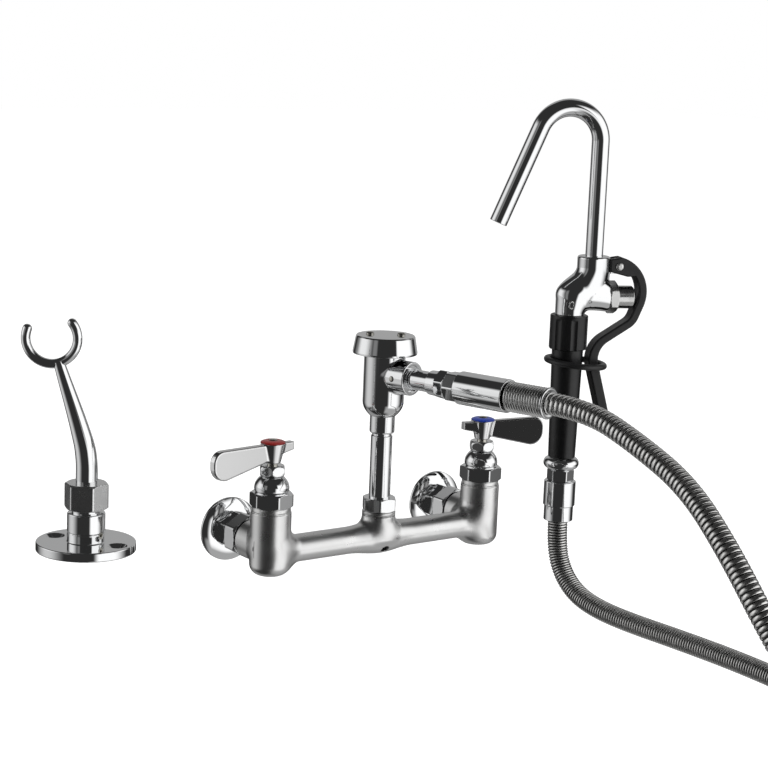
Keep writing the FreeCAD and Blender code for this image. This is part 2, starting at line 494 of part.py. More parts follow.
def vacuumBreaker():
    """Bottle body with its outlet boss, seat, float, vent seat, flared cap and screws."""
    shell = turned("breakerShell", "riser", [
        ("0", "breakerBase"), ("breakerFoot", "breakerBase"),
        ("breakerRadius - 1.5", "breakerBase + breakerCurve * 0.4", "arc"),
        ("breakerRadius", "breakerBase + breakerCurve"), ("breakerRadius", breakerTop), ("0", breakerTop)])
    boss = turned("outletBossBody", "outlet", [
        ("0", "0"), ("outletBoss", "0"), ("outletBoss", "outletFace - 0.8"), ("outletBoss - 0.8", "outletFace"),
        ("outletBoss - faceRing", "outletFace"), ("outletBoss - faceRing", "outletFace - faceRecess"),
        ("0", "outletFace - faceRecess")])
    solid = joined("breakerSolid", [shell, boss])
    posts = [rod("capPost" + side, "capScrew" + side, "capPostRadius", breakerTop + " - 3",
                 "breakerCapBase + breakerCapHeight - breakerCapWall") for side in ("Left", "Right")]
    bores = [rod("breakerFoot", "riser", "riserRadius", "breakerBase", "breakerBase + 5"),
             rod("breakerInlet", "riser", "seatBore", "breakerBase", "breakerFloor"),
             rod("breakerCavity", "riser", "breakerBore", "breakerFloor", breakerTop),
             rod("outletThread", "outlet", "nippleRadius", "nippleStart", "outletFace"),
             rod("outletBore", "outlet", "nippleBore", "0", "outletFace"),
             rod("sidePlugHole", "sidePlug", "sidePlugRadius", "outletBoss - sidePlugDepth", "outletBoss")]
    hollow = cut("breakerHollow", solid, bores)
    taps = [rod("capTap" + side, "capScrew" + side, "capScrewShank",
                "breakerCapBase + breakerCapHeight - capScrewLength", "breakerCapBase + breakerCapHeight")
            for side in ("Left", "Right")]
    node("breaker_body", cut("breakerBodyCut", joined("breakerWithPosts", [hollow] + posts), taps))
    node("breaker_side_plug", turned("sidePlugScrew", "sidePlug", [
        ("0", "outletBoss - sidePlugDepth"), ("sidePlugRadius", "outletBoss - sidePlugDepth"),
        ("sidePlugRadius", "outletBoss"), ("sidePlugRadius * 0.7", "outletBoss + 0.5", "arc"),
        ("sidePlugRadius * 0.25", "outletBoss + 0.7"), ("0", "outletBoss + 0.7")]))
    node("breaker_seat", tube("breakerSeatRing", "riser", "seatBore", "breakerBore", "breakerFloor",
                              "breakerFloor + seatHeight"))
    ventTop = breakerTop + " - 3"
    node("breaker_vent_seat", tube("ventSeatRing", "riser", "floatStem + 3", "breakerBore",
                                   ventTop + " - ventSeat", ventTop))
    rest = "breakerFloor + seatHeight + seatGap"
    stemTop = breakerTop + " - floatHeadroom"
    node("breaker_float", turned("breakerFloat", "riser", [
        ("0", rest), ("floatRadius - 1", rest), ("floatRadius", rest + " + 1"),
        ("floatRadius", rest + " + floatHeight - 1"), ("floatRadius - 1", rest + " + floatHeight"),
        ("floatStem", rest + " + floatHeight"), ("floatStem", stemTop), ("0", stemTop)]))
    capTop = "breakerCapBase + breakerCapHeight"
    capShell = turned("breakerCapShell", "riser", [
        ("0", capTop + " - breakerCapWall"), ("breakerCapTop - breakerCapWall - 0.5", capTop + " - breakerCapWall"),
        ("breakerCapRim - breakerCapWall", "breakerCapBase + 1"), ("breakerCapRim - breakerCapWall", "breakerCapBase"),
        ("breakerCapRim - 0.7", "breakerCapBase"), ("breakerCapRim", "breakerCapBase + 1.2"),
        ("breakerCapTop + 0.25", capTop + " - 1.4"), ("breakerCapTop - 0.35", capTop + " - 0.4", "arc"),
        ("breakerCapTop - 1.6", capTop), ("0", capTop + " + 0.3")])
    holes = [rod("capHole" + side, "capScrew" + side, "capScrewShank + 0.1", capTop + " - 4", capTop + " + 1")
             for side in ("Left", "Right")]
    node("breaker_cap", cut("breakerCapCut", capShell, holes))
    screws = []
    for side in ("Left", "Right"):
        screws.append(turned("capScrewBody" + side, "capScrew" + side, [
            ("0", capTop + " - capScrewLength"), ("capScrewShank", capTop + " - capScrewLength"),
            ("capScrewShank", capTop + " + 0.3"), ("capScrewHead", capTop + " + 0.3"),
            ("capScrewHead", capTop + " + 0.9"), ("capScrewHead * 0.7", capTop + " + 1.85", "arc"),
            ("capScrewHead * 0.25", capTop + " + 2.2"), ("0", capTop + " + 2.2")]))
    node("breaker_cap_screws", joined("capScrewPair", screws))


def outletLine():
    """Threaded adapter, hose nut, and the ferrule with its core and end ring."""
    frame = "outlet"
    collar = turned("adapterCollar", frame, [
        ("nippleBore", "nippleStart"), ("nippleRadius - 0.6", "nippleStart"),
        ("nippleRadius", "nippleStart + 0.8"), ("nippleRadius", "adapterStart"),
        ("adapterRadius - 0.5", "adapterStart"),
        ("adapterRadius", "adapterStart + 0.5"), ("adapterRadius", "adapterHexStart - 2"),
        ("adapterFlats / 2", "adapterHexStart + 1"), ("adapterFlats / 2", "adapterHexEnd - 1"),
        ("hoseCore", "adapterHexEnd - 1"), ("hoseCore", "ferruleStart - 2"), ("nippleBore", "ferruleStart - 2")])
    bar = hexagon("adapterHex", frame, "adapterFlats", "adapterHexStart", "adapterHexEnd", "12")
    through = rod("adapterThrough", frame, "nippleBore", "adapterStart", "ferruleStart")
    node("outlet_adapter", cut("adapterCut", joined("adapterSolid", [collar, bar]), [through]))
    nutBar = hexagon("hoseNutHex", frame, "hoseNutFlats", "adapterHexEnd", "ferruleStart", "30")
    thread = rod("hoseNutThread", frame, "hoseCore", "adapterHexEnd", "ferruleStart")
    node("hose_nut", cut("hoseNutCut", nutBar, [thread]))
    node("hose_ferrule", turned("hoseFerrule", frame, [
        ("hoseBore", "ferruleStart"), ("ferruleRadius - 0.8", "ferruleStart"),
        ("ferruleRadius", "ferruleStart + 0.8"), ("ferruleRadius", "ferruleEnd - 0.6"),
        ("ferruleRadius - 0.6", "ferruleEnd"), ("hoseCore", "ferruleEnd"), ("hoseCore", "guardEnd - guardRing"),
        ("guardRadius - 0.6", "guardEnd - guardRing"), ("guardRadius + 0.3", "guardEnd - guardRing / 2", "arc"),
        ("guardRadius - 0.6", "guardEnd"), ("hoseBore", "guardEnd")]))


def circleWire(centre, direction, radius, steady):
    """A circle whose seam lies along a steady direction."""
    edge = Part.Edge(Part.Circle(Vector(), Vector(0, 0, 1), radius))
    edge.Placement = FreeCAD.Placement(centre, FreeCAD.Rotation(steady, direction.cross(steady), direction, "ZXY"))
    return Part.Wire(edge)


def biarc(start, end, startWay, endWay):
    """Two arcs that leave start along startWay and reach end along endWay."""
    across = end - start
    ways = startWay + endWay
    bend = 2 * (1 - startWay.dot(endWay))
    along = across.dot(ways)
    reach = (-along + math.sqrt(along ** 2 + bend * across.dot(across))) / bend
    firstCorner = start + startWay * reach
    lastCorner = end - endWay * reach
    middle = (firstCorner + lastCorner) * 0.5
    return [arcFrom(start, firstCorner, middle), arcFrom(middle, lastCorner, end)]


def arcFrom(start, corner, end):
    """The arc that touches both legs of a corner."""
    half = (end - start) * 0.5
    chordMiddle = start + half
    rise = corner - chordMiddle
    angle = (corner - start).getAngle(half)
    top = chordMiddle + rise.normalize() * (half.Length * math.tan(angle / 2))
    return Part.Arc(start, top, end).toShape()


def coil(radius, wire, turns, low, high):
    """A wound wire along local Z as one unbroken tube, and the least gap between its turns."""
    rise = (high - low - wire) / turns
    base = low + wire / 2
    halves = 2 * turns

    def spot(step):
        angle = math.pi * step
        return Vector(radius * math.cos(angle), radius * math.sin(angle), base + rise * step / 2)

    def way(step):
        angle = math.pi * step
        slope = Vector(-radius * math.sin(angle), radius * math.cos(angle), rise / (2 * math.pi))
        return slope.normalize()

    edges = []
    for step in range(halves * 2):
        edges += biarc(spot(step / 2), spot(step / 2 + 0.5), way(step / 2), way(step / 2 + 0.5))
    spine = Part.Wire(edges)
    profile = Part.Wire(Part.Edge(Part.Circle(spot(0), way(0), wire / 2)))
    solid = spine.makePipeShell([profile], True, False)
    pitchLength = rise * math.cos(math.atan(rise / (2 * math.pi * radius)))
    return solid, pitchLength - wire


def feature(label, shape, frame):
    piece = doc.addObject("Part::Feature", label)
    piece.Shape = shape
    return put(piece, frame)


def springGuard():
    wire = number("guardWire")
    solid, gap = coil(number("guardRadius") - wire / 2, wire, int(number("guardTurns")),
                      number("ferruleEnd + 0.1"), number("guardEnd - guardRing - 0.1"))
    print("spring guard least gap %.2f mm" % gap)
    node("spring_guard", feature("springGuard", solid, "outlet"))


def outletPoint(distance):
    angle = math.radians(number("outletTurn"))
    return Vector(distance * math.cos(angle), distance * math.sin(angle) - number("postReach"),
                  number("outletHeight"))


def hoseRoute():
    """The hose's route: out of the guard, forward and down, round and back up to the hand-piece."""
    start = outletPoint(number("guardEnd"))
    end = Vector(number("handRight"), -number("handReach"), number("handBase"))
    between = [(57, -293, 112), (57, -347, 92), (50, -396, 59), (48, -440, 15), (59, -472, -28),
               (86, -489, -63), (126, -487, -86), (165, -463, -97), (196, -422, -99), (215, -370, -95),
               (221, -312, -91), (216, -256, -87), (206, -200, -83.5), (196, -151, -81), (190, -117, -77.5),
               (187.5, -91.5, -70.5), (186, -74, -55.5)]
    points = [start, outletPoint(number("guardEnd + hoseLead"))]
    points += [Vector(*point) for point in between]
    points += [end - Vector(0, 0, number("hoseRise")), end]
    return points


def walk(points):
    """Straight runs joined by tangent arcs, as edges, with the radii and the whole length."""
    edges = []
    radii = []
    place = points[0]
    for before, point, after in zip(points, points[1:], points[2:]):
        into = (point - before).normalize()
        out = (after - point).normalize()
        half = into.getAngle(out) / 2
        leg = 0.45 * min((point - before).Length, (after - point).Length)
        radii.append(leg / math.tan(half))
        edges.append(Part.LineSegment(place, point - into * leg).toShape())
        edges.append(arcFrom(point - into * leg, point, point + out * leg))
        place = point + out * leg
    edges.append(Part.LineSegment(place, points[-1]).toShape())
    return edges, radii


def stationsAlong(edges, distances):
    """The point and the direction at each distance along the edges."""
    found = []
    place = 0
    passed = 0.0
    for distance in distances:
        while place < len(edges) - 1 and distance > passed + edges[place].Length:
            passed += edges[place].Length
            place += 1
        edge = edges[place]
        part = min(max((distance - passed) / edge.Length, 0.0), 1.0)
        at = edge.FirstParameter + part * (edge.LastParameter - edge.FirstParameter)
        found.append((edge.valueAt(at), edge.tangentAt(at)))
    return found


def hose():
    """Ribbed stainless hose: a ruled loft through four circles for each rib, with its bore."""
    edges, radii = walk(hoseRoute())
    length = sum(edge.Length for edge in edges)
    print("hose arc radii mm " + " ".join("%.0f" % radius for radius in radii))
    print("hose length %.1f mm, least arc radius %.1f mm" % (length, min(radii)))
    crest = number("hoseRadius")
    valley = number("hoseValley")
    ribs = int(number("hoseRibs"))
    plain = 2 * crest
    pitch = (length - 2 * plain) / ribs
    steps = [(0.0, crest), (plain, crest)]
    for rib in range(ribs):
        low = plain + rib * pitch
        steps += [(low + pitch * 0.12, valley), (low + pitch * 0.3, valley), (low + pitch * 0.42, crest),
                  (low + pitch * 0.98, crest)]
    steps += [(length, crest)]
    stations = stationsAlong(edges, [step[0] for step in steps])
    steady = Vector(0, 0, 1)
    wires = []
    bores = []
    for (distance, radius), (centre, way) in zip(steps, stations):
        steady = (steady - way * steady.dot(way)).normalize()
        wires.append(circleWire(centre, way, radius, steady))
        bores.append(circleWire(centre, way, number("hoseBore"), steady))
    outer = Part.makeLoft(wires, True, True)
    inner = Part.makeLoft(bores[::2] + ([] if len(bores) % 2 else [bores[-1]]), True, True)
    solid = outer.cut(inner)
    section = math.pi * (crest ** 2 - number("hoseBore") ** 2)
    print("hose volume %.0f mm3, section times length %.0f mm3" % (solid.Volume, section * length))
    node("hose", feature("hoseBody", solid, "wall"))


def handGrip():
    """Hose-end sleeve, end fitting, grip tube, grip sleeve and fluted collar."""
    frame = "hand"
    node("hose_end_sleeve", turned("hoseEndSleeve", frame, [
        ("hoseBore", "0"), ("sleeveStep - 0.5", "0"), ("sleeveStep", "0.5"), ("sleeveStep", "sleeveStepHeight"),
        ("sleeveRadius", "sleeveStepHeight + 0.8"), ("sleeveRadius", "sleeveHeight - 0.8"),
        ("sleeveRadius - 0.8", "sleeveHeight"), ("hoseBore", "sleeveHeight")]))
    hexTop = "sleeveHeight + endHexHeight"
    bar = hexagon("endHex", frame, "endHexFlats", "sleeveHeight", hexTop, "8")
    bead = turned("endBead", frame, [
        ("0", hexTop + " - 0.5"), ("endHexFlats / 2 - 0.3", hexTop + " - 0.5"), ("beadRadius - 3", hexTop + " + 0.8"),
        ("beadRadius", hexTop + " + beadHeight * 0.5", "arc"), ("beadRadius - 3", gripEnd + " - 0.6"),
        ("beadRadius - 3.6", gripEnd), ("0", gripEnd)])
    spigot = rod("endSpigot", frame, "gripTubeRadius - 1.4", gripEnd, gripEnd + " + 8")
    hole = rod("endBore", frame, "hoseBore", "sleeveHeight", gripEnd + " + 8")
    node("handle_end_fitting", cut("endFittingCut", joined("endFittingSolid", [bar, bead, spigot]), [hole]))
    tubeTop = bodyBase
    node("grip_tube", turned("gripTube", frame, [
        ("gripTubeRadius - 1.4", gripEnd), ("gripTubeRadius", gripEnd), ("gripTubeRadius", tubeTop),
        ("handBore", tubeTop), ("handBore", gripEnd + " + 8"), ("gripTubeRadius - 1.4", gripEnd + " + 8")]))
    collarBase = gripEnd + " + gripLength"
    node("grip_sleeve", turned("gripSleeve", frame, [
        ("gripTubeRadius", gripEnd), ("gripFoot - 0.6", gripEnd), ("gripFoot", gripEnd + " + 0.6"),
        ("gripTop", collarBase), ("gripTubeRadius", collarBase)]))
    collar = turned("gripCollarRing", frame, [
        ("gripTubeRadius", collarBase), ("gripCollar - 1", collarBase), ("gripCollar", collarBase + " + 1"),
        ("gripCollar", bodyBase + " - 1"), ("gripCollar - 1", bodyBase), ("gripTubeRadius", bodyBase)])
    grooves = []
    for place in range(int(number("flutes"))):
        groove = doc.addObject("Part::Cylinder", "flute%d" % place)
        groove.setExpression("Radius", bound("fluteRadius"))
        groove.setExpression("Height", bound("gripCollarHeight - 3"))
        turn = "360 * %d / flutes + 12.6" % place
        reach = frameAt("gripCollar + fluteRadius - fluteDepth", "0", collarBase)
        groove.setExpression("Placement", bound(frames[frame] + " * " + frameAt("0", "0", "0", turn) + " * " + reach))
        grooves.append(groove)
    node("grip_collar", cut("gripCollarCut", collar, grooves))


def loftCircle(label, frame, x, z, pitch, radius):
    ring = doc.addObject("Part::Circle", label)
    ring.setExpression("Radius", bound(radius))
    ring.setExpression("Placement", bound(frames[frame] + " * " + frameAt(x, "0", z, "0", pitch)))
    return ring


def loft(label, rings, ruled=False):
    whole = doc.addObject("Part::Loft", label)
    whole.Sections = rings
    whole.Solid = True
    whole.Ruled = ruled
    return whole


def valveBody():
    """Cast body with its swan neck, the side boss for the plunger and the lug for the lever."""
    frame = "hand"
    low = bodyBase
    rings = [loftCircle("neckRing0", frame, "0", low, "0", "socketRadius"),
             loftCircle("neckRing1", frame, "0", low + " + neckRise * 0.24", "0", "socketRadius"),
             loftCircle("neckRing2", frame, "neckOffset * 0.47", low + " + neckRise * 0.54", "38", "socketRadius + 0.3"),
             loftCircle("neckRing3", frame, "neckOffset", low + " + neckRise * 0.84", "0", "neckRadius - 0.6"),
             loftCircle("neckRing4", frame, "neckOffset", neckTop + " - 2", "0", "neckRadius - 0.6")]
    neck = loft("swanNeck", rings)
    column = doc.addObject("Part::Cylinder", "valveColumn")
    column.setExpression("Radius", bound("neckRadius"))
    column.setExpression("Height", bound("neckRise - actuatorRise"))
    column.setExpression("Placement", bound(handFrame + " * " + frameAt("neckOffset", "0", actuatorHeight)))
    boss = turned("actuatorBossBody", "actuator", [
        ("0", "0"), ("actuatorBoss - 1.5", "0"), ("actuatorBoss", "1.5"), ("actuatorBoss", "actuatorFace - 0.6"),
        ("actuatorBoss - 0.6", "actuatorFace"), ("0", "actuatorFace")])
    lug = rod("leverLug", "pivot", "lugRadius", "-lugThick / 2", "lugThick / 2")
    web = padded("lugWeb", frame, [
        ("neckOffset", pivotHeight + " - lugRadius"), ("pivotOffset", pivotHeight + " - lugRadius"),
        ("pivotOffset", pivotHeight + " + lugRadius"), ("neckOffset", pivotHeight + " + lugRadius - 1")], "lugThick")
    solid = joined("valveBodySolid", [neck, column, boss, lug, web])
    upright = handFrame + " * " + frameAt("neckOffset", "0", "0")
    tools = [rod("handInlet", frame, "handBore", low, actuatorHeight),
             rod("chamber", "actuator", "chamberRadius", "5", "actuatorFace"),
             rod("actuatorThreadHole", "actuator", "actuatorThread", "actuatorFace - actuatorSpigot", "actuatorFace"),
             rod("pivotHole", "pivot", "pivotRadius", "-lugThick", "lugThick")]
    for label, radius, foot in (("upperBore", "handBore", actuatorHeight),
                                ("tubeSocketBore", "tubeRadius", neckTop + " - tubeSocket")):
        hole = doc.addObject("Part::Cylinder", label)
        hole.setExpression("Radius", bound(radius))
        hole.setExpression("Height", bound("%s - (%s)" % (neckTop, foot)))
        hole.setExpression("Placement", bound(upright + " * " + frameAt("0", "0", foot)))
        tools.append(hole)
    node("valve_body", cut("valveBodyCut", solid, tools))


def pathSketch(label, frame, outline):
    """A free sketch of an open path in the frame's XZ plane."""
    sketch = doc.addObject("Sketcher::SketchObject", label)
    sketch.setExpression("Placement", bound(frames[frame] + " * " + frameAt("0", "0", "0", "0", "0", "90")))
    drawOutline(sketch, outline, closed=False)
    return sketch


def swept(label, spine, section):
    whole = doc.addObject("Part::Sweep", label)
    doc.recompute()
    whole.Sections = [section]
    whole.Spine = (spine, ["Edge%d" % (index + 1) for index in range(len(spine.Shape.Edges))])
    whole.Solid = True
    return whole


def nozzleTube():
    """Bent spout: up from the socket, over the bend and down to the open tip."""
    frame = "hand"
    foot = neckTop + " - tubeSocket"
    bendBase = neckTop + " + bendLift"
    centre = "neckOffset - bendRadius"
    halfTurn = "bendTurn / 2"
    spine = pathSketch("spoutPath", frame, [
        ("neckOffset", foot), ("neckOffset", bendBase),
        (centre + " + bendRadius * cos(%s)" % halfTurn, bendBase + " + bendRadius * sin(%s)" % halfTurn, "arc"),
        (centre + " + bendRadius * cos(bendTurn)", bendBase + " + bendRadius * sin(bendTurn)"),
        (centre + " + bendRadius * cos(bendTurn) - spoutLength * sin(bendTurn)",
         bendBase + " + bendRadius * sin(bendTurn) + spoutLength * cos(bendTurn)")])
    walls = []
    for label, radius in (("spoutOuter", "tubeRadius"), ("spoutInner", "tubeBore")):
        ring = loftCircle(label + "Ring", frame, "neckOffset", foot, "0", radius)
        walls.append(swept(label, spine, ring))
    node("nozzle_tube", cut("nozzleCut", walls[0], [walls[1]]))


def actuator():
    """Hexagon nut, plunger, stem seal, valve seat and disc, and the plunger's spring."""
    frame = "actuator"
    spigotEnd = "actuatorFace - actuatorSpigot"
    nutEnd = "actuatorFace + actuatorHex"
    bar = hexagon("actuatorHexBar", frame, "actuatorFlats", "actuatorFace", nutEnd, "30")
    spigot = rod("actuatorSpigotBody", frame, "actuatorThread - threadPlay", spigotEnd, "actuatorFace + 1")
    pocket = turned("actuatorPocket", frame, [
        ("0", spigotEnd), ("stemRadius + plungerPlay", spigotEnd), ("stemRadius + plungerPlay", spigotEnd + " + stemGuide"),
        ("plungerRadius + plungerPlay", spigotEnd + " + stemGuide"), ("plungerRadius + plungerPlay", nutEnd),
        ("0", nutEnd)])
    node("actuator_nut", cut("actuatorNutCut", joined("actuatorNutSolid", [bar, spigot]), [pocket]))
    plungerEnd = ("loopOffset + sqrt((loopRadius - leverThick / 2)^2 - (loopRise + plungerRadius * 0.6)^2)"
                  " - seatGap + plungerDome * 0.4")
    discBack = "valveSeatAt - seatGap - valveDisc"
    cavity = plungerEnd + " - plungerDome - plungerWall"
    node("plunger", turned("plungerBody", frame, [
        ("0", discBack + " - 1.5"), ("stemRadius + 1", discBack + " - 1.5"), ("stemRadius + 1", discBack),
        ("stemRadius", discBack), ("stemRadius", cavity), ("plungerRadius - plungerWall", cavity),
        ("plungerRadius - plungerWall", "plungerBack"), ("plungerRadius", "plungerBack"),
        ("plungerRadius", plungerEnd + " - plungerDome - 0.9"), ("plungerRadius - 0.8", plungerEnd + " - plungerDome"),
        ("plungerRadius * 0.48", plungerEnd + " - plungerDome * 0.26", "arc"),
        ("plungerRadius * 0.05", plungerEnd), ("0", plungerEnd)]))
    node("valve_disc", tube("valveDiscRing", frame, "stemRadius", "valveDiscRadius", discBack,
                            "valveSeatAt - seatGap"))
    node("valve_seat", tube("valveSeatRing", frame, "valveSeatBore", "chamberRadius", "valveSeatAt",
                            "valveSeatAt + valveSeatWide"))
    node("stem_seal", tube("stemSealRing", frame, "stemRadius + plungerPlay", "chamberRadius",
                           spigotEnd + " - stemSeal", spigotEnd))
    wire = number("springWire")
    low = number(spigotEnd + " + stemGuide + 0.05")
    solid, gap = coil(number("springRadius"), wire, int(number("springTurns")), low, number(cavity + " - 0.05"))
    print("plunger spring least gap %.2f mm" % gap)
    node("plunger_spring", feature("plungerSpring", solid, frame))


def away(point, heading, length):
    """The point that lies a length away along a heading in the frame's XZ plane."""
    return ("%s + (%s) * cos(%s)" % (point[0], length, heading), "%s + (%s) * sin(%s)" % (point[1], length, heading))


def arcAbout(centre, radius, first, last):
    """Start, middle and end of an arc about a centre, for an outline."""
    middle = away(centre, "((%s) + (%s)) / 2" % (first, last), radius)
    return [away(centre, first, radius), middle + ("arc",), away(centre, last, radius)]


def squeezeLever():
    """Moulded lever: head over the lug, loop round the plunger, shoulder, run, elbow and tail."""
    loop = ("loopOffset", actuatorHeight + " + loopRise")
    thick = "leverThick / 2"
    dropEnd = away(away(loop, "-loopEnd", "loopRadius"), "-90 - loopEnd", "leverDrop")
    shoulder = away(dropEnd, "-loopEnd", "-shoulderRadius")
    runEnd = away(away(shoulder, "runLean - 90", "shoulderRadius"), "runLean - 180", "leverRun")
    elbow = away(runEnd, "runLean - 90", "elbowRadius + " + thick)
    outer = arcAbout(loop, "loopRadius + " + thick, "headStart", "-loopEnd")
    outer += arcAbout(shoulder, "shoulderRadius + " + thick, "-loopEnd", "runLean - 90")
    outer += arcAbout(elbow, "elbowRadius", "runLean + 90", "tailLean + 180")
    turnStart = away(elbow, "runLean + 90", "elbowRadius + leverThick")
    turnMiddle = away(elbow, "(runLean + tailLean + 270) / 2", "elbowRadius + leverThick / 2 + tailThick / 2")
    turnEnd = away(elbow, "tailLean + 180", "elbowRadius + tailThick")
    tip = away(away(elbow, "tailLean + 180", "elbowRadius + tailThick / 2"), "tailLean - 90",
               "leverTail + tailThick / 2")
    inner = [away(turnEnd, "tailLean - 90", "leverTail"), turnEnd, turnMiddle + ("arc",), turnStart]
    inner += arcAbout(shoulder, "shoulderRadius - " + thick, "runLean - 90", "-loopEnd")
    inner += arcAbout(loop, "loopRadius - " + thick, "-loopEnd", "headEnd")
    head = [("pivotOffset + headBack", pivotHeight + " - headChin"),
            ("pivotOffset - headBack", pivotHeight + " - headFoot"),
            ("pivotOffset - headBack", pivotHeight + " + headTop")]
    outline = outer + [away(outer[-1], "tailLean - 90", "leverTail"), tip + ("arc",)] + inner + head
    plate = padded("leverPlate", "hand", outline, "leverWide", bevel="leverEdge")
    slotTool = padded("leverSlot", "hand", [
        ("neckOffset", pivotHeight + " - headChin * 2"),
        ("pivotOffset + lugRadius + 1.4", pivotHeight + " - headChin * 2"),
        ("pivotOffset + lugRadius + 1.4", pivotHeight + " + headChin * 2"),
        ("neckOffset", pivotHeight + " + headChin * 2")], "lugThick + 2 * lugPlay")
    room = doc.addObject("Part::Cylinder", "columnRoom")
    room.setExpression("Radius", bound("neckRadius + headPlay"))
    room.setExpression("Height", bound("neckRise"))
    room.setExpression("Placement", bound(handFrame + " * " + frameAt("neckOffset", "0", actuatorHeight)))
    hole = rod("leverPivotHole", "pivot", "pivotRadius + spindlePlay", "-leverWide", "leverWide")
    node("squeeze_lever", cut("squeezeLeverCut", plate, [slotTool, room, hole]))
    node("lever_pivot_screw", turned("pivotScrewBody", "pivot", [
        ("0", "-leverWide / 2"), ("pivotRadius", "-leverWide / 2"), ("pivotRadius", "leverWide / 2 + seatGap"),
        ("pivotHead", "leverWide / 2 + seatGap"), ("pivotHead", "leverWide / 2 + seatGap + pivotHeadHeight * 0.4"),
        ("pivotHead * 0.7", "leverWide / 2 + seatGap + pivotHeadHeight * 0.85", "arc"),
        ("pivotHead * 0.25", "leverWide / 2 + seatGap + pivotHeadHeight"),
        ("0", "leverWide / 2 + seatGap + pivotHeadHeight")]))
    ring = doc.addObject("Part::Torus", "holdRingBody")
    ring.setExpression("Radius1", bound("holdRingRadius"))
    ring.setExpression("Radius2", bound("holdRingRod"))
    node("hold_ring", put(ring, "holdRing"))


def deckHook():
    """Flanged deck post, set screw, hexagon nut, tapered bent rod and C fork."""
    frame = "deck"
    flange = turned("deckFlangeBody", frame, [
        ("0", "-deckThick"), ("deckRadius", "-deckThick"), ("deckRadius", "-0.8"), ("deckRadius - 0.8", "0"),
        ("deckPost", "0"), ("deckPost", "deckGroove - 0.5"), ("deckPost - 0.5", "deckGroove"),
        ("deckPost", "deckGroove + 0.5"), ("deckPost", "deckPostHeight - 0.8"), ("deckPost - 0.8", "deckPostHeight"),
        ("deckNeck", "deckPostHeight"), ("deckNeck", "deckNeckHeight"), ("0", "deckNeckHeight")])
    tools = [rod("rodSocket", frame, "rodRadius + rodPlay", "rodFoot", "deckNeckHeight"),
             rod("setScrewHole", "setScrew", "setScrewRadius", "deckPost - 6", "deckPost + 1")]
    for side in ("-", ""):
        place = deckFrame + " * " + frameAt("0", "0", "0", "deckHoleTurn") + " * "
        place += frameAt(side + "deckHolePitch / 2", "0", "-deckThick")
        hole = doc.addObject("Part::Cylinder", "deckHole")
        hole.setExpression("Radius", bound("deckHole"))
        hole.setExpression("Height", bound("deckThick"))
        hole.setExpression("Placement", bound(place))
        sink = doc.addObject("Part::Cone", "deckSink")
        sink.setExpression("Radius1", bound("deckHole"))
        sink.setExpression("Radius2", bound("deckSink"))
        sink.setExpression("Height", bound("deckSinkDepth"))
        sink.setExpression("Placement", bound(place + " * " + frameAt("0", "0", "deckThick - deckSinkDepth")))
        tools += [hole, sink]
    node("deck_flange", cut("deckFlangeCut", flange, tools))
    screw = rod("setScrewBody", "setScrew", "setScrewRadius", "deckPost - 5.8", "deckPost - 0.2")
    socket = doc.addObject("Part::Prism", "setScrewSocket")
    socket.Polygon = 6
    socket.setExpression("Circumradius", bound("setScrewRadius / 2"))
    socket.Height = 3
    put(socket, "setScrew", "deckPost - 2")
    node("hook_set_screw", cut("setScrewCut", screw, [socket]))
    nutTop = "hookNutBase + hookNutHeight"
    bar = hexagon("hookNutHex", frame, "hookNutFlats", "hookNutBase", nutTop, "hookNutTurn")
    hollow = turned("hookNutHollow", frame, [
        ("0", "hookNutBase"), ("deckNeck + threadPlay", "hookNutBase"),
        ("deckNeck + threadPlay", "deckNeckHeight"), ("rodRadius + rodPlay", "deckNeckHeight"),
        ("rodRadius + rodPlay", nutTop), ("0", nutTop)])
    node("hook_nut", cut("hookNutCut", bar, [hollow]))
    foot = rod("rodFootBody", frame, "rodRadius", "rodFoot + seatGap", "rodStraight")
    stemX = "forkOffset - (forkRadius - 1) * sin(forkLean)"
    stemZ = "forkHeight - (forkRadius - 1) * cos(forkLean)"
    rings = [loftCircle("rodRing0", frame, "0", "rodStraight", "0", "rodRadius"),
             loftCircle("rodRing1", frame, "1", "rodStraight + 13", "8", "rodRadius * 0.98"),
             loftCircle("rodRing2", frame, "4.4", "rodStraight + 27", "16", "rodRadius * 0.89"),
             loftCircle("rodRing3", frame, stemX, stemZ, "forkLean", "rodTip")]
    node("hook_rod", joined("hookRodBody", [foot, loft("rodTaper", rings)]))
    arc = doc.addObject("Part::Circle", "forkArc")
    arc.setExpression("Radius", bound("forkRadius"))
    arc.setExpression("Angle1", bound("forkFrom"))
    arc.setExpression("Angle2", bound("forkTo"))
    put(arc, "fork")
    profile = doc.addObject("Part::Circle", "forkProfile")
    profile.setExpression("Radius", bound("forkRod"))
    start = frameAt("forkRadius * cos(forkFrom)", "forkRadius * sin(forkFrom)", "0", "forkFrom", "0", "90")
    profile.setExpression("Placement", bound(frames["fork"] + " * " + start))
    bend = swept("forkBend", arc, profile)
    tips = []
    for turn in ("forkFrom", "forkTo"):
        ball = doc.addObject("Part::Sphere", "forkTip")
        ball.setExpression("Radius", bound("forkRod"))
        tip = frameAt("forkRadius * cos(%s)" % turn, "forkRadius * sin(%s)" % turn, "0")
        ball.setExpression("Placement", bound(frames["fork"] + " * " + tip))
        tips.append(ball)
    fork = joined("hookForkSolid", [bend] + tips)
    node("hook_fork", cut("hookForkCut", fork, [loft("rodTaperTool", rings)]))


mixerCasting()
for side in ("hot", "cold"):
    wallInlet(side)
    valve(side)
    handle(side)
riserLine()
vacuumBreaker()
outletLine()
springGuard()
hose()
handGrip()
valveBody()
nozzleTube()
actuator()
squeezeLever()
deckHook()

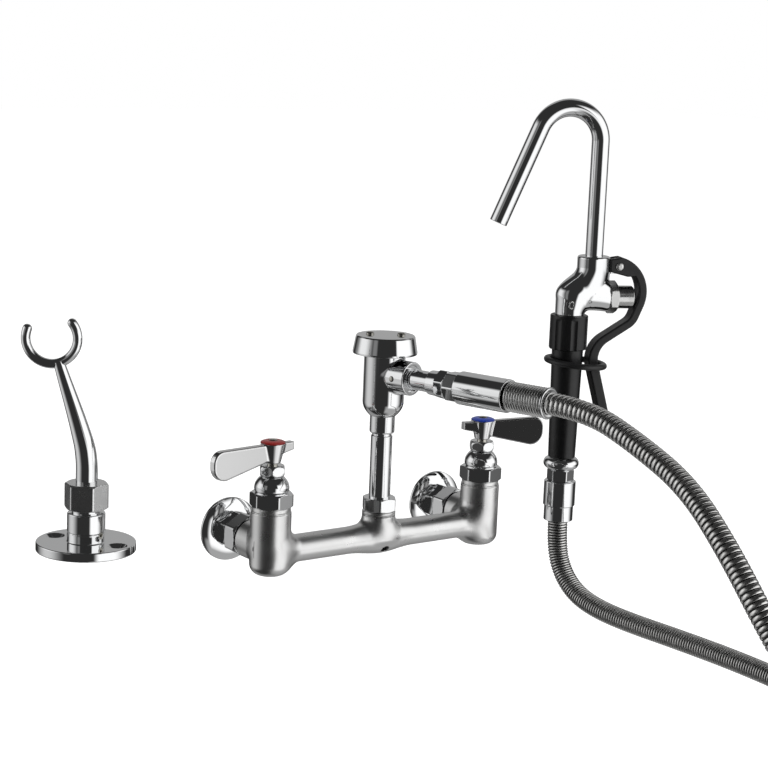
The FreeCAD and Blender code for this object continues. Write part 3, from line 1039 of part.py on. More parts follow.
doc.recompute()
for item in doc.Objects:
    failed = [state for state in item.State if state in ("Invalid", "Error")]
    if failed:
        raise RuntimeError("%s failed: %s" % (item.Label, failed))
os.makedirs("parts", exist_ok=True)
for piece in nodes:
    if piece.Shape.isNull() or not piece.Shape.isValid():
        raise RuntimeError("%s has no valid shape" % piece.Label)
    piece.Shape.exportStep("parts/%s.step" % piece.Label)
print("%d nodes written" % len(nodes))
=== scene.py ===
import json
import math

import bmesh
import bpy
import numpy as np
from mathutils import Matrix, Vector


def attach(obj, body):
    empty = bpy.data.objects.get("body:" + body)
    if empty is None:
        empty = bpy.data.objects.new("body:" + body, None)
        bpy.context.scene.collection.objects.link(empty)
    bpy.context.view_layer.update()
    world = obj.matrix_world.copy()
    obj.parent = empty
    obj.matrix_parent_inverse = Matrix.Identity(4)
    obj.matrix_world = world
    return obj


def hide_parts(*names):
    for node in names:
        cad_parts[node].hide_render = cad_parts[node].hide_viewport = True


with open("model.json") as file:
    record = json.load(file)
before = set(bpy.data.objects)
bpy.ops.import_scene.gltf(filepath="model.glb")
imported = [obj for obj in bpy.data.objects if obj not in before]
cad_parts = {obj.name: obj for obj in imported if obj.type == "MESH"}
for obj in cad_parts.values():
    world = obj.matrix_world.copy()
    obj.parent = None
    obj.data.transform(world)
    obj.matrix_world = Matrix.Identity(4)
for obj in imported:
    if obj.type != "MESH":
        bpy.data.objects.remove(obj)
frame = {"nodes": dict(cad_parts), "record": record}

scene = bpy.context.scene
nodes = frame["nodes"]
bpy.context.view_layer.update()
print("frame loaded, %d solids" % len(nodes))


# small tools
class Sizes(dict):
    # a dictionary whose values are read like attributes
    __getattr__ = dict.__getitem__


def cosSin(degrees):
    return math.cos(math.radians(degrees)), math.sin(math.radians(degrees))


def spins(sides):
    return [2 * math.pi * side / sides for side in range(sides)]


def circle(sides):
    return [(math.cos(angle), math.sin(angle)) for angle in spins(sides)]


def folded(angle, count):
    # an angle measured from the middle of its sector
    half = math.pi / count
    return (angle + half) % (2 * half) - half


def smoothPart(part):
    return part * part * (3 - 2 * part)


def band(near, far, count):
    # quads between two rings of points, each given by its first point
    return [(near + side, near + (side + 1) % count, far + (side + 1) % count, far + side)
            for side in range(count)]


def addObject(name, data):
    added = bpy.data.objects.new(name, data)
    scene.collection.objects.link(added)
    return added


# camera, fitted to the posts, flanges and breaker of the photograph
cameraView = Sizes(
    place=(-0.9064, -1.3131, 0.4064), forward=(0.5769, 0.7961, -0.1828),
    up=(0.0752, 0.1712, 0.9824), lens=93.75, sensor=36.0,
)


def makeCamera(own):
    data = bpy.data.cameras.new("photoCamera")
    data.lens = own.lens
    data.sensor_width = own.sensor
    camera = addObject("photoCamera", data)
    back = -Vector(own.forward).normalized()
    right = Vector(own.up).cross(back).normalized()
    axes = Matrix((right, back.cross(right), back)).transposed().to_4x4()
    camera.matrix_world = Matrix.Translation(own.place) @ axes
    scene.camera = camera


makeCamera(cameraView)
scene.view_settings.view_transform = "Standard"


# materials
noiseSpan = (0.3, 0.7)


def setInputs(node, inputs):
    # an output of another node is linked, anything else is set
    for name, value in inputs.items():
        if isinstance(value, bpy.types.NodeSocket):
            node.id_data.links.new(value, node.inputs[name])
        else:
            node.inputs[name].default_value = value
    return node.outputs


def newNode(tree, kind, inputs):
    return setInputs(tree.nodes.new("ShaderNode" + kind), inputs)


def newMaterial(name, colour, metallic=0.0):
    material = bpy.data.materials.new(name)
    material.use_nodes = True
    shader = material.node_tree.nodes["Principled BSDF"]
    setInputs(shader, {"Base Color": (*colour, 1), "Metallic": metallic})
    return material, shader


def addNoise(shader, scale, detail=3.0):
    spot = newNode(shader.id_data, "TexCoord", {})["Object"]
    return newNode(shader.id_data, "TexNoise", {"Vector": spot, "Scale": scale, "Detail": detail})["Fac"]


def varyRoughness(shader, scale, low, high):
    spread = newNode(shader.id_data, "MapRange", {
        "From Min": noiseSpan[0], "From Max": noiseSpan[1], "To Min": low, "To Max": high,
        "Value": addNoise(shader, scale)})
    setInputs(shader, {"Roughness": spread["Result"]})


def varyColour(shader, scale, dark, light):
    ramp = shader.id_data.nodes.new("ShaderNodeValToRGB")
    for stop, position, colour in zip(ramp.color_ramp.elements, noiseSpan, (dark, light)):
        stop.position = position
        stop.color = (*colour, 1)
    setInputs(shader, {"Base Color": setInputs(ramp, {"Fac": addNoise(shader, scale)})["Color"]})


def addBump(shader, noise, strength, distance):
    bump = newNode(shader.id_data, "Bump", {"Height": noise, "Strength": strength, "Distance": distance})
    setInputs(shader, {"Normal": bump["Normal"]})


def chromeFinish(name, colour, low, high, ripple):
    material, shader = newMaterial(name, colour, 1.0)
    varyRoughness(shader, 90, low, high)
    addBump(shader, addNoise(shader, 35, 1.0), ripple, 0.0004)
    return material


def steelFinish(name, dark, light, low, high):
    material, shader = newMaterial(name, light, 1.0)
    varyColour(shader, 160, dark, light)
    varyRoughness(shader, 220, low, high)
    return material


def mouldedFinish(name, dark, light, low, high, grain, depth):
    material, shader = newMaterial(name, light)
    varyColour(shader, 40, dark, light)
    varyRoughness(shader, 150, low, high)
    addBump(shader, addNoise(shader, grain, 4.0), 0.35, depth)
    return material


# each look: colour, roughness from and to, ripple
chromeLooks = {
    "polishedChrome": ((0.84, 0.845, 0.85), 0.03, 0.06, 0.02),
    "castChrome": ((0.78, 0.78, 0.775), 0.26, 0.34, 0.03),
    "nutChrome": ((0.8, 0.8, 0.8), 0.24, 0.28, 0.0),
    "satinChrome": ((0.8, 0.8, 0.8), 0.08, 0.12, 0.0),
}
# darkest and lightest colour, roughness from and to
steelLooks = {
    "hoseSteel": ((0.74, 0.735, 0.72), (0.88, 0.875, 0.86), 0.2, 0.3),
    "springSteel": ((0.78, 0.78, 0.77), (0.9, 0.9, 0.89), 0.14, 0.2),
    # painted shade: near-black metal put where shade falls, in the hose's grooves and on the ferrule's core
    # under the spring guard; the drain plug in its hole is drawn just as dark
    "grooveSteel": ((0.02, 0.02, 0.02), (0.05, 0.05, 0.05), 0.4, 0.6),
    "plungerSteel": ((0.6, 0.6, 0.59), (0.72, 0.72, 0.71), 0.16, 0.24),
    "pivotSteel": ((0.78, 0.78, 0.77), (0.9, 0.9, 0.89), 0.42, 0.52),
    "screwSteel": ((0.5, 0.49, 0.45), (0.68, 0.66, 0.6), 0.2, 0.32),
    "machinedBrass": ((0.55, 0.4, 0.16), (0.75, 0.58, 0.28), 0.22, 0.35),
}
# the same, then the grain's scale and depth
mouldedLooks = {
    "gripRubber": ((0.003, 0.003, 0.0035), (0.005, 0.005, 0.0055), 0.3, 0.38, 900, 0.00006),
    "leverPlastic": ((0.006, 0.006, 0.0065), (0.011, 0.011, 0.0115), 0.32, 0.42, 500, 0.0001),
    "washerRubber": ((0.01, 0.01, 0.01), (0.02, 0.02, 0.02), 0.5, 0.65, 600, 0.0001),
    "floatPlastic": ((0.7, 0.7, 0.66), (0.82, 0.82, 0.79), 0.35, 0.5, 300, 0.00005),
    "hotEnamel": ((0.17, 0.01, 0.009), (0.26, 0.014, 0.012), 0.16, 0.26, 200, 0.00003),
    "coldEnamel": ((0.008, 0.025, 0.2), (0.01, 0.04, 0.33), 0.16, 0.26, 200, 0.00003),
}
finishes = {}
for make, looks in ((chromeFinish, chromeLooks), (steelFinish, steelLooks), (mouldedFinish, mouldedLooks)):
    for name, look in looks.items():
        finishes[name] = make(name, *look)
slotFinish = {
    "chrome": "polishedChrome", "stainless": "screwSteel", "brass": "machinedBrass",
    "black_rubber": "washerRubber", "black_plastic": "leverPlastic", "white_plastic": "floatPlastic",
    "hot_index": "hotEnamel", "cold_index": "coldEnamel",
}
nodeFinish = {
    # the drain plug, sunk in its hole, takes the near-black painted shade
    "drain_plug": "grooveSteel", "hot_spindle": "screwSteel", "cold_spindle": "screwSteel",
    "lever_pivot_screw": "pivotSteel",
}
for part in frame["record"]["subparts"]:
    solid = nodes[part["node"]].data
    solid.materials.clear()
    solid.materials.append(finishes[nodeFinish.get(part["node"], slotFinish[part["material_slot"]])])
    solid.shade_smooth()
    solid.set_sharp_from_angle(angle=math.radians(25))
print("materials made")


# studio
studio = Sizes(
    floor=-0.1135, floorHalf=7.5, floorGlow=0.78, worldDim=0.45, cameraTurn=-126.0,
    shellRadius=8.0, shellStep=2.5, shellBase=0.03,
    # soft lights on the shell, seen only in the metal: degrees right of the camera from and to,
    # the soft widths there, heights from and to, the soft widths there, and the brightness
    lights={
        "rightLow": (38, 74, 15, 44, -28, 2, 24, 8, 1.18),
        "rightHigh": (46, 96, 6, 30, -4, 24, 8, 20, 1.2),
        "leftHigh": (-95, -80, 32, 42, -2, 26, 8, 14, 0.95),
        "leftLow": (-92, -84, 50, 48, -24, 0, 18, 8, 0.66),
        "leftEdge": (-40, -32, 10, 8, -2, 26, 8, 12, 0.22),
        "backHigh": (150, 204, 22, 14, -8, 50, 8, 20, 0.38),
        "backLow": (105, 235, 20, 20, -90, -38, 5, 14, 0.3),
        "underRight": (30, 125, 25, 30, -64, -30, 22, 10, 0.42),
    },
)


def fadedIn(value, start, end, startSoft, endSoft):
    return smoothPart(min(1, max(0, 1 - (start - value) / startSoft), max(0, 1 - (value - end) / endSoft)))


def lightAt(turn, height):
    # brightness of the shell at degrees right of the camera and degrees above the horizon
    total = studio.shellBase
    for start, end, startSoft, endSoft, foot, top, footSoft, topSoft, strength in studio.lights.values():
        middle = (start + end) / 2
        across = (turn - middle + 180) % 360 - 180 + middle
        sideways = fadedIn(across, start, end, startSoft, endSoft)
        total = max(total, strength * sideways * fadedIn(height, foot, top, footSoft, topSoft))
    return total


def makeShell():
    # a far dome all round whose brightness changes softly from place to place
    step = studio.shellStep
    turns = int(360 / step)
    points = []
    glow = []
    faces = []
    for level in range(int(180 / step) + 1):
        flat, rise = cosSin(-90 + step * level)
        for turn in range(turns):
            east, north = cosSin(studio.cameraTurn + turn * step)
            points.append(Vector((flat * east, flat * north, rise)) * studio.shellRadius)
            glow.append(lightAt(turn * step, -90 + step * level))
        if level:
            faces += band(level * turns, (level - 1) * turns, turns)
    mesh = bpy.data.meshes.new("studioShell")
    mesh.from_pydata(points, [], faces)
    tint = mesh.color_attributes.new("glow", "FLOAT_COLOR", "POINT")
    tint.data.foreach_set("color", [part for value in glow for part in (value, value, value, 1.0)])
    material = bpy.data.materials.new("shellGlow")
    material.use_nodes = True
    tree = material.node_tree
    tree.nodes.clear()
    source = tree.nodes.new("ShaderNodeAttribute")
    source.attribute_name = "glow"
    emission = newNode(tree, "Emission", {"Color": source.outputs["Color"]})
    newNode(tree, "OutputMaterial", {"Surface": emission["Emission"]})
    mesh.materials.append(material)
    shell = addObject("studioShell", mesh)
    for rays in ("camera", "diffuse", "shadow", "transmission", "volume_scatter"):
        setattr(shell, "visible_" + rays, False)


def mathNode(tree, operation, first, second):
    node = tree.nodes.new("ShaderNodeMath")
    node.operation = operation
    return setInputs(node, {0: first, 1: second})["Value"]


def seenDirectly(tree):
    # 1 for the camera's rays and for those that metal or glass sends on
    rays = tree.nodes.new("ShaderNodeLightPath").outputs
    seen = mathNode(tree, "MAXIMUM", rays["Is Camera Ray"], rays["Is Glossy Ray"])
    return mathNode(tree, "MAXIMUM", seen, rays["Is Transmission Ray"])


def makeFloor():
    mesh = bpy.data.meshes.new("floor")
    half = studio.floorHalf
    corners = ((-half, -half), (half, -half), (half, half), (-half, half))
    mesh.from_pydata([(*corner, studio.floor) for corner in corners], [], [(0, 1, 2, 3)])
    material, shader = newMaterial("paleFloor", (0.5, 0.5, 0.5))
    tree = material.node_tree
    setInputs(shader, {
        "Roughness": 0.9, "Specular IOR Level": 0.0, "Emission Color": (1, 1, 1, 1),
        "Emission Strength": mathNode(tree, "MULTIPLY", seenDirectly(tree), studio.floorGlow)})
    mesh.materials.append(material)
    floor = addObject("floor", mesh)
    floor.visible_glossy = False


def makeWorld():
    world = bpy.data.worlds.new("studioWorld")
    scene.world = world
    world.use_nodes = True
    tree = world.node_tree
    inputs = {"To Min": studio.worldDim, "To Max": 1.0, "Value": seenDirectly(tree)}
    strength = newNode(tree, "MapRange", inputs)
    setInputs(tree.nodes["Background"], {"Color": (1, 1, 1, 1), "Strength": strength["Result"]})


def makeLamp(name, place, target, size, power):
    data = bpy.data.lights.new(name, "AREA")
    data.shape = "RECTANGLE"
    data.size, data.size_y = size
    data.energy = power
    lamp = addObject(name, data)
    lamp.location = place
    lamp.rotation_euler = (Vector(target) - Vector(place)).to_track_quat("-Z", "Y").to_euler()
    lamp.visible_glossy = False


makeShell()
makeFloor()
makeWorld()
makeLamp("rightSoftbox", (1.6, -2.2, 1.6), (0.0, -0.1, 0.1), (1.6, 1.6), 34)
makeLamp("leftSoftbox", (-2.4, -0.6, 1.5), (0.0, -0.1, 0.1), (1.4, 1.4), 16)
makeLamp("topSoftbox", (0.0, -0.1, 2.4), (0.0, -0.1, 0.0), (2.0, 2.0), 22)
print("studio set")


# mesh tools: all outlines are in millimetres
def place(x, y, z=0.0, yaw=0.0):
    turn = Matrix.Rotation(math.radians(yaw), 4, "Z")
    return Matrix.Translation(Vector((x, y, z)) / 1000) @ turn @ Matrix.Scale(0.001, 4)


def shifted(base, x, y, z, turn=0.0, axis="Y"):
    return base @ Matrix.Translation((x, y, z)) @ Matrix.Rotation(math.radians(turn), 4, axis)


handPlace = place(186, -65, -11.4, -22.4)
deckPlace = place(-258.7, -61.5, 24.2, 145)
places = {
    "wall": place(0, 0), "riser": place(0, -62), "outlet": shifted(place(0, -62, 127.2, -74), 0, 0, 0, 90),
    "hotPost": place(-101.6, -62), "coldPost": place(101.6, -62),
    "hotInlet": shifted(place(-101.6, 0, 0, -90), 0, 0, 0, 90),
    "coldInlet": shifted(place(101.6, 0, 0, -90), 0, 0, 0, 90),
    "hotLever": place(-101.6, -62, 0, 187), "coldLever": place(101.6, -62, 0, -7),
    "hand": handPlace, "actuator": shifted(handPlace, 0, 0, 190.9, 90),
    "holdRing": shifted(handPlace, 7.6, 0, 135.5, 5),
    "deck": deckPlace, "fork": shifted(deckPlace, 25.9, 0, 146.7, 90, "X"),
}


def moved(shell, where):
    return [where @ Vector(point) for point in shell[0]], shell[1]


def joined(shells, where, points=(), faces=()):
    # shells: pairs of points and faces, in millimetres from the piece's own place
    allPoints = list(points)
    allFaces = list(faces)
    for shell in shells:
        shellPoints, shellFaces = moved(shell, where)
        base = len(allPoints)
        allPoints += shellPoints
        allFaces += [tuple(base + corner for corner in face) for face in shellFaces]
    return allPoints, allFaces


def facedOut(mesh, first=0, weld=0.0):
    # turns the faces from the first one on outward
    tidy = bmesh.new()
    tidy.from_mesh(mesh)
    if weld:
        bmesh.ops.remove_doubles(tidy, verts=tidy.verts, dist=weld)
    tidy.faces.ensure_lookup_table()
    bmesh.ops.recalc_face_normals(tidy, faces=tidy.faces[first:])
    tidy.to_mesh(mesh)
    tidy.free()


def finishPiece(name, mesh, node, body, finish):
    mesh.materials.append(finishes[finish])
    piece = addObject(name, mesh)
    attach(piece, body)
    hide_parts(node)
    return piece


def newPiece(name, shells, where, node, body="fixed_assembly", finish="polishedChrome",
             sharp=32, weighted=True):
    points, faces = joined(shells, where)
    mesh = bpy.data.meshes.new(name)
    mesh.from_pydata(points, [], faces)
    facedOut(mesh, weld=1e-7)
    mesh.shade_smooth()
    mesh.set_sharp_from_angle(angle=math.radians(sharp))
    piece = finishPiece(name, mesh, node, body, finish)
    if weighted:
        piece.modifiers.new("flatFaces", "WEIGHTED_NORMAL").keep_sharp = True
    return piece


def arcThrough(first, middle, last, steps=10):
    # points of the circle through three places in a plane
    ax, ay = first
    bx, by = middle
    cx, cy = last
    twice = 2 * (ax * (by - cy) + bx * (cy - ay) + cx * (ay - by))
    aSquare, bSquare, cSquare = ax * ax + ay * ay, bx * bx + by * by, cx * cx + cy * cy
    ux = (aSquare * (by - cy) + bSquare * (cy - ay) + cSquare * (ay - by)) / twice
    uy = (aSquare * (cx - bx) + bSquare * (ax - cx) + cSquare * (bx - ax)) / twice
    radius = math.hypot(ax - ux, ay - uy)
    start = math.atan2(ay - uy, ax - ux)
    sweep = (math.atan2(cy - uy, cx - ux) - start) % (2 * math.pi)
    through = (math.atan2(by - uy, bx - ux) - start) % (2 * math.pi)
    if through > sweep:
        sweep -= 2 * math.pi
    turns = [start + sweep * step / steps for step in range(steps + 1)]
    return [(ux + radius * math.cos(turn), uy + radius * math.sin(turn)) for turn in turns]


def drawn(outline):
    # an outline's third value is "arc" for a point that an arc goes through, or a corner's radius
    points = []
    for index, spot in enumerate(outline):
        before = outline[index - 1][:2]
        after = outline[(index + 1) % len(outline)][:2]
        if len(spot) == 2:
            points.append(spot)
        elif spot[2] == "arc":
            points += arcThrough(before, spot[:2], after)[1:-1]
        else:
            corner = Vector(spot[:2])
            into = Vector(before) - corner
            out = Vector(after) - corner
            half = into.angle(out) / 2
            leg = min(spot[2] / math.tan(half), 0.45 * into.length, 0.45 * out.length)
            into.normalize()
            out.normalize()
            middle = corner + (into + out).normalized() * (leg / math.cos(half) - leg * math.tan(half))
            points += arcThrough(tuple(corner + into * leg), tuple(middle), tuple(corner + out * leg), 4)
    return points


def lathe(outline, sides=96):
    # the closed outline of radius and height, turned about the axis
    profile = drawn(outline)
    points = [(radius * east, radius * north, height)
              for radius, height in profile for east, north in circle(sides)]
    faces = []
    for row in range(len(profile)):
        following = (row + 1) % len(profile)
        if profile[row][0] > 1e-6 or profile[following][0] > 1e-6:
            faces += band(row * sides, following * sides, sides)
    return points, faces


def ringStack(rings):
    # a skin over rings with the same count of points, closed at both ends
    count = len(rings[0])
    points = [point for ring in rings for point in ring]
    faces = []
    for row in range(len(rings) - 1):
        faces += band(row * count, (row + 1) * count, count)
    faces.append(tuple(range(count)))
    faces.append(tuple(range(len(points) - count, len(points))))
    return points, faces


hexShape = Sizes(bevel=0.05, flatCut=0.12, tipCut=0.18, sides=144, steps=6)


def hexBar(flats, low, high, turn=0.0):
    # a hexagon bar whose corners are turned down at both ends
    half = flats / 2
    tip = half / math.cos(math.pi / 6)
    foot = half - hexShape.flatCut
    ends = []
    for base, way in ((low, 1), (high, -1)):
        rings = []
        for step in range(hexShape.steps + 1):
            part = step / hexShape.steps
            rise = flats * hexShape.bevel * part
            ring = []
            for angle in spins(hexShape.sides):
                flat = half / math.cos(folded(angle, 6))
                radius = min(flat, foot + (tip - foot) * part, tip - hexShape.tipCut)
                turned = angle + math.radians(turn)
                ring.append((radius * math.cos(turned), radius * math.sin(turned), base + way * rise))
            rings.append(ring)
        ends.append(rings)
    return ringStack(ends[0] + ends[1][::-1])


def section(spot, across, radius, sides):
    # a circle round a point in the frame's XZ plane
    middle = Vector((spot[0], 0, spot[1]))
    return [middle + across * (east * radius) + Vector((0, north * radius, 0))
            for east, north in circle(sides)]


def swept(line, radii, sides=48):
    # a tube of round sections along points in the frame's XZ plane
    rings = []
    for index, (spot, radius) in enumerate(zip(line, radii)):
        before = line[max(index - 1, 0)]
        after = line[min(index + 1, len(line) - 1)]
        way = Vector((after[0] - before[0], 0, after[1] - before[1])).normalized()
        rings.append(section(spot, Vector((-way.z, 0, way.x)), radius, sides))
    return ringStack(rings)


# smooth castings: a distance in millimetres is worked out for many points, and its zero is skinned
most, least = np.maximum, np.minimum


def rounded(side, end, radius):
    return (np.hypot(most(side + radius, 0), most(end + radius, 0))
            + least(most(side + radius, end + radius), 0) - radius)


def blended(first, second, radius):
    apart = np.hypot(most(radius - first, 0), most(radius - second, 0))
    return most(radius, least(first, second)) - apart


def slopeOf(distance, points, reach=0.02):
    columns = []
    for axis in range(3):
        step = np.zeros(3)
        step[axis] = reach
        columns.append((distance(points + step) - distance(points - step)) / (2 * reach))
    return np.stack(columns, 1)


def skinned(distance, low, high, cell):
    # one point in each mixed cell, drawn onto the surface, and one quad across each mixed edge
    low = np.array(low, float)
    counts = np.ceil((np.array(high, float) - low) / cell).astype(int) + 1
    axes = [low[axis] + cell * np.arange(counts[axis]) for axis in range(3)]
    field = np.empty(tuple(counts))
    for index in range(counts[0]):
        slab = np.stack(np.meshgrid(axes[0][index:index + 1], axes[1], axes[2], indexing="ij"), -1)
        field[index] = distance(slab.reshape(-1, 3)).reshape(counts[1], counts[2])
    inside = field < 0
    held = sum(inside[dx:counts[0] - 1 + dx, dy:counts[1] - 1 + dy, dz:counts[2] - 1 + dz].astype(int)
               for dx in (0, 1) for dy in (0, 1) for dz in (0, 1))
    mixed = (held > 0) & (held < 8)
    names = -np.ones(mixed.shape, int)
    names[mixed] = np.arange(mixed.sum())
    points = low + (np.argwhere(mixed) + 0.5) * cell
    for step in range(5):
        value, slope = distance(points), slopeOf(distance, points)
        points = points - np.clip(value / most((slope ** 2).sum(1), 0.2), -cell, cell)[:, None] * slope
    faces = []
    for axis in range(3):
        spots = np.argwhere(np.diff(inside, axis=axis))
        b, c = (axis + 1) % 3, (axis + 2) % 3
        spots = spots[(spots[:, b] > 0) & (spots[:, c] > 0) & (spots[:, b] < counts[b] - 1)
                      & (spots[:, c] < counts[c] - 1)]
        quad = []
        for backB, backC in ((1, 1), (0, 1), (0, 0), (1, 0)):
            back = np.zeros(3, int)
            back[b], back[c] = backB, backC
            quad.append(names[tuple((spots - back).T)])
        quad = np.stack(quad, 1)
        outward = inside[tuple(spots.T)]
        quad[~outward] = quad[~outward][:, ::-1]
        faces.append(quad)
    return points, np.concatenate(faces)


def turnedNormals(normals, degrees):
    angle = np.radians(degrees)
    x, y = normals[:, 0], normals[:, 1]
    return np.stack([x * np.cos(angle) - y * np.sin(angle), x * np.sin(angle) + y * np.cos(angle),
                     normals[:, 2]], 1)


def smoothPiece(name, distance, low, high, cell, where, node, body="fixed_assembly",
                finish="polishedChrome", shells=(), shade=None):
    # the casting's skin takes its normals from the distance itself; plain shells join it
    points, faces = skinned(distance, low, high, cell)
    normals = slopeOf(distance, points)
    normals /= np.linalg.norm(normals, axis=1)[:, None]
    if shade:
        normals = turnedNormals(normals, shade(points, normals))
    skinPoints = [where @ Vector(point) for point in points]
    allPoints, allFaces = joined(shells, where, skinPoints, [tuple(face) for face in faces.tolist()])
    mesh = bpy.data.meshes.new(name)
    mesh.from_pydata(allPoints, [], allFaces)
    if shells:
        facedOut(mesh, len(faces))
    mesh.shade_smooth()
    mesh.set_sharp_from_angle(angle=math.radians(42))
    turn = where.to_3x3().normalized()
    facing = [tuple(turn @ Vector(normal)) for normal in normals]
    facing += [(0.0, 0.0, 0.0)] * (len(allPoints) - len(skinPoints))
    mesh.normals_split_custom_set([facing[loop.vertex_index] for loop in mesh.loops])
    finishPiece(name, mesh, node, body, finish)


# hose
hoseValues = Sizes(
    exit=(43.06, -212.15, 127.2), diameter=17.0, groove=0.45, crest=8.5, valley=7.6,
    between=[(52.43, -244.83, 127.2), (57, -293, 112), (57, -347, 92), (50, -396, 59), (48, -440, 15),
                (59, -472, -28), (86, -489, -63), (126, -487, -86), (165, -463, -97), (196, -422, -99),
                (215, -370, -95), (221, -312, -91), (216, -256, -87), (206, -200, -83.5),
                (196, -151, -81), (190, -117, -77.5), (187.5, -91.5, -70.5), (186, -74, -55.5),
                (186, -65, -34)],
    end=(186, -65, -11.4), sides=40,
    # the ribs' pitch at both ends, and where along the hose it begins to change and for how long
    ribs=(4.2, 2.4), closing=(150, 400),
    # a rib's side, its shoulder, and how far both lie below the crest
    wall=0.16, shoulder=0.5, wallDrop=0.4, shoulderDrop=0.12, shortest=1.2,
)


def splinePoints(name, route):
    curve = bpy.data.curves.new(name, "CURVE")
    curve.dimensions = "3D"
    curve.resolution_u = 24
    spline = curve.splines.new("NURBS")
    spline.points.add(len(route) - 1)
    for point, position in zip(spline.points, route):
        point.co = (*(Vector(position) / 1000), 1)
    spline.order_u = 3
    spline.use_endpoint_u = True
    guide = bpy.data.objects.new(name, curve)
    line = bpy.data.meshes.new_from_object(guide)
    points = [vertex.co.copy() for vertex in line.vertices]
    bpy.data.meshes.remove(line)
    bpy.data.objects.remove(guide)
    bpy.data.curves.remove(curve)
    return points


def alongLine(points, distances):
    # position and direction at each distance, in order
    found = []
    index = 0
    passed = 0.0
    for distance in distances:
        while index < len(points) - 2 and distance > passed + (points[index + 1] - points[index]).length:
            passed += (points[index + 1] - points[index]).length
            index += 1
        step = points[index + 1] - points[index]
        found.append((points[index] + step * ((distance - passed) / step.length), step.normalized()))
    return found


def ribSteps(own, length):
    # distance and radius along the hose; each rib has a narrow groove, round shoulders and a crown
    groove, wall, shoulder = own.groove, own.wall, own.shoulder
    valley, crest = own.valley, own.crest
    side, bend = crest - own.wallDrop, crest - own.shoulderDrop
    steps = []
    start = 0.0
    while start < length - own.shortest:
        part = smoothPart(min(max((start - own.closing[0]) / own.closing[1], 0), 1))
        pitch = min(own.ribs[0] + (own.ribs[1] - own.ribs[0]) * part, length - start)
        steps += [(start, valley), (start + groove, valley), (start + groove + wall, side),
                  (start + groove + shoulder, bend), (start + (pitch + groove) / 2, crest),
                  (start + pitch - shoulder, bend), (start + pitch - wall, side)]
        start += pitch
    return steps + [(length, valley)]


def makeHose(own):
    line = splinePoints("hoseGuide", [own.exit] + own.between + [own.end])
    length = sum((after - before).length for before, after in zip(line, line[1:])) * 1000
    steps = ribSteps(own, length)
    stations = alongLine(line, [step[0] / 1000 for step in steps])
    side = Vector((0, 0, 1))
    rings = []
    for (distance, radius), (middle, way) in zip(steps, stations):
        side = (side - way * side.dot(way)).normalized()
        across = way.cross(side)
        rings.append([middle + (side * east + across * north) * radius / 1000
                      for east, north in circle(own.sides)])
    hose = newPiece("ribbedHose", [ringStack(rings)], Matrix.Identity(4), "hose",
                    finish="hoseSteel", sharp=50, weighted=False)
    # painted shade: the faces in each groove between the ribs take the near-black metal
    hose.data.materials.append(finishes["grooveSteel"])
    for face in hose.data.polygons[:-2]:
        if face.index // own.sides % 7 in (0, 1, 6):
            face.material_index = 1
    print("hose made, %.0f mm long" % length)


makeHose(hoseValues)


# wall inlets
flangeOutline = [(0, 0), (25.4, 0, 0.3), (25.4, 2.1, 0.6), (20, 4.5, "arc"), (13.5, 5.5), (12.6, 5.5),
                 (0, 5.5)]
spigotOutline = [(0, 5), (12.4, 5), (12.4, 26), (0, 26)]
for side in ("hot", "cold"):
    newPiece(side + "Flange", [lathe(flangeOutline), hexBar(27, 5, 17, 30), lathe(spigotOutline)],
             places[side + "Inlet"], side + "_wall_flange")
    newPiece(side + "UnionNut", [hexBar(30.5, 19, 33, 30)], places[side + "Inlet"], side + "_coupling_nut")
print("wall inlets made")


# mixer casting
casting = Sizes(
    spacing=101.6, reach=62, post=15.8, foot=-22, top=28.0, chin=9, topEdge=0.6,
    arm=15.3, armEnd=34.4, armEdge=1.2, armBlend=3.0,
    bar=10.8, barDrop=4, barShort=6, bulge=13.6, bulgeHalf=31, postBlend=9.5,
    boss=13.3, bossLow=-4, bossTop=17.5, bossEdge=0.7, bossBlend=6,
    plug=3.4, plugLean=50, plugDeep=9.5, grooveHeight=14.6, groove=0.45,
)


def castingDistance(points):
    own = casting
    x, y, z = np.abs(points[:, 0]), points[:, 1] + own.reach, points[:, 2]
    out = np.hypot(x - own.spacing, y) - own.post
    middle = (own.foot + own.top) / 2
    post = np.where(z < middle, rounded(out, own.foot - z, own.chin), rounded(out, z - own.top, own.topEdge))
    arm = rounded(np.hypot(x - own.spacing, z) - own.arm, y - (own.reach - own.armEnd), own.armEdge)
    whole = blended(post, most(arm, -y), own.armBlend)
    swell = np.cos(np.clip(x / own.bulgeHalf, 0, 1) * math.pi)
    girth = own.bar + (own.bulge - own.bar) * (1 + swell) / 2
    past = most(x - own.spacing + own.barShort, 0)
    bar = np.sqrt(y ** 2 + (z + own.barDrop) ** 2 + past ** 2) - girth
    boss = rounded(np.hypot(x, y) - own.boss, most(z - own.bossTop, own.bossLow - z), own.bossEdge)
    whole = blended(blended(whole, bar, own.postBlend), boss, own.bossBlend)
    lean = math.radians(own.plugLean)
    deep = -(y * math.sin(lean) + (z + own.barDrop) * math.cos(lean))
    sideways = y * math.cos(lean) - (z + own.barDrop) * math.sin(lean)
    hole = most(np.hypot(x, sideways) - own.plug, own.plugDeep - deep)
    groove = np.hypot(np.hypot(x, y) - own.boss, z - own.grooveHeight) - own.groove
    return most(most(whole, -groove), -hole)


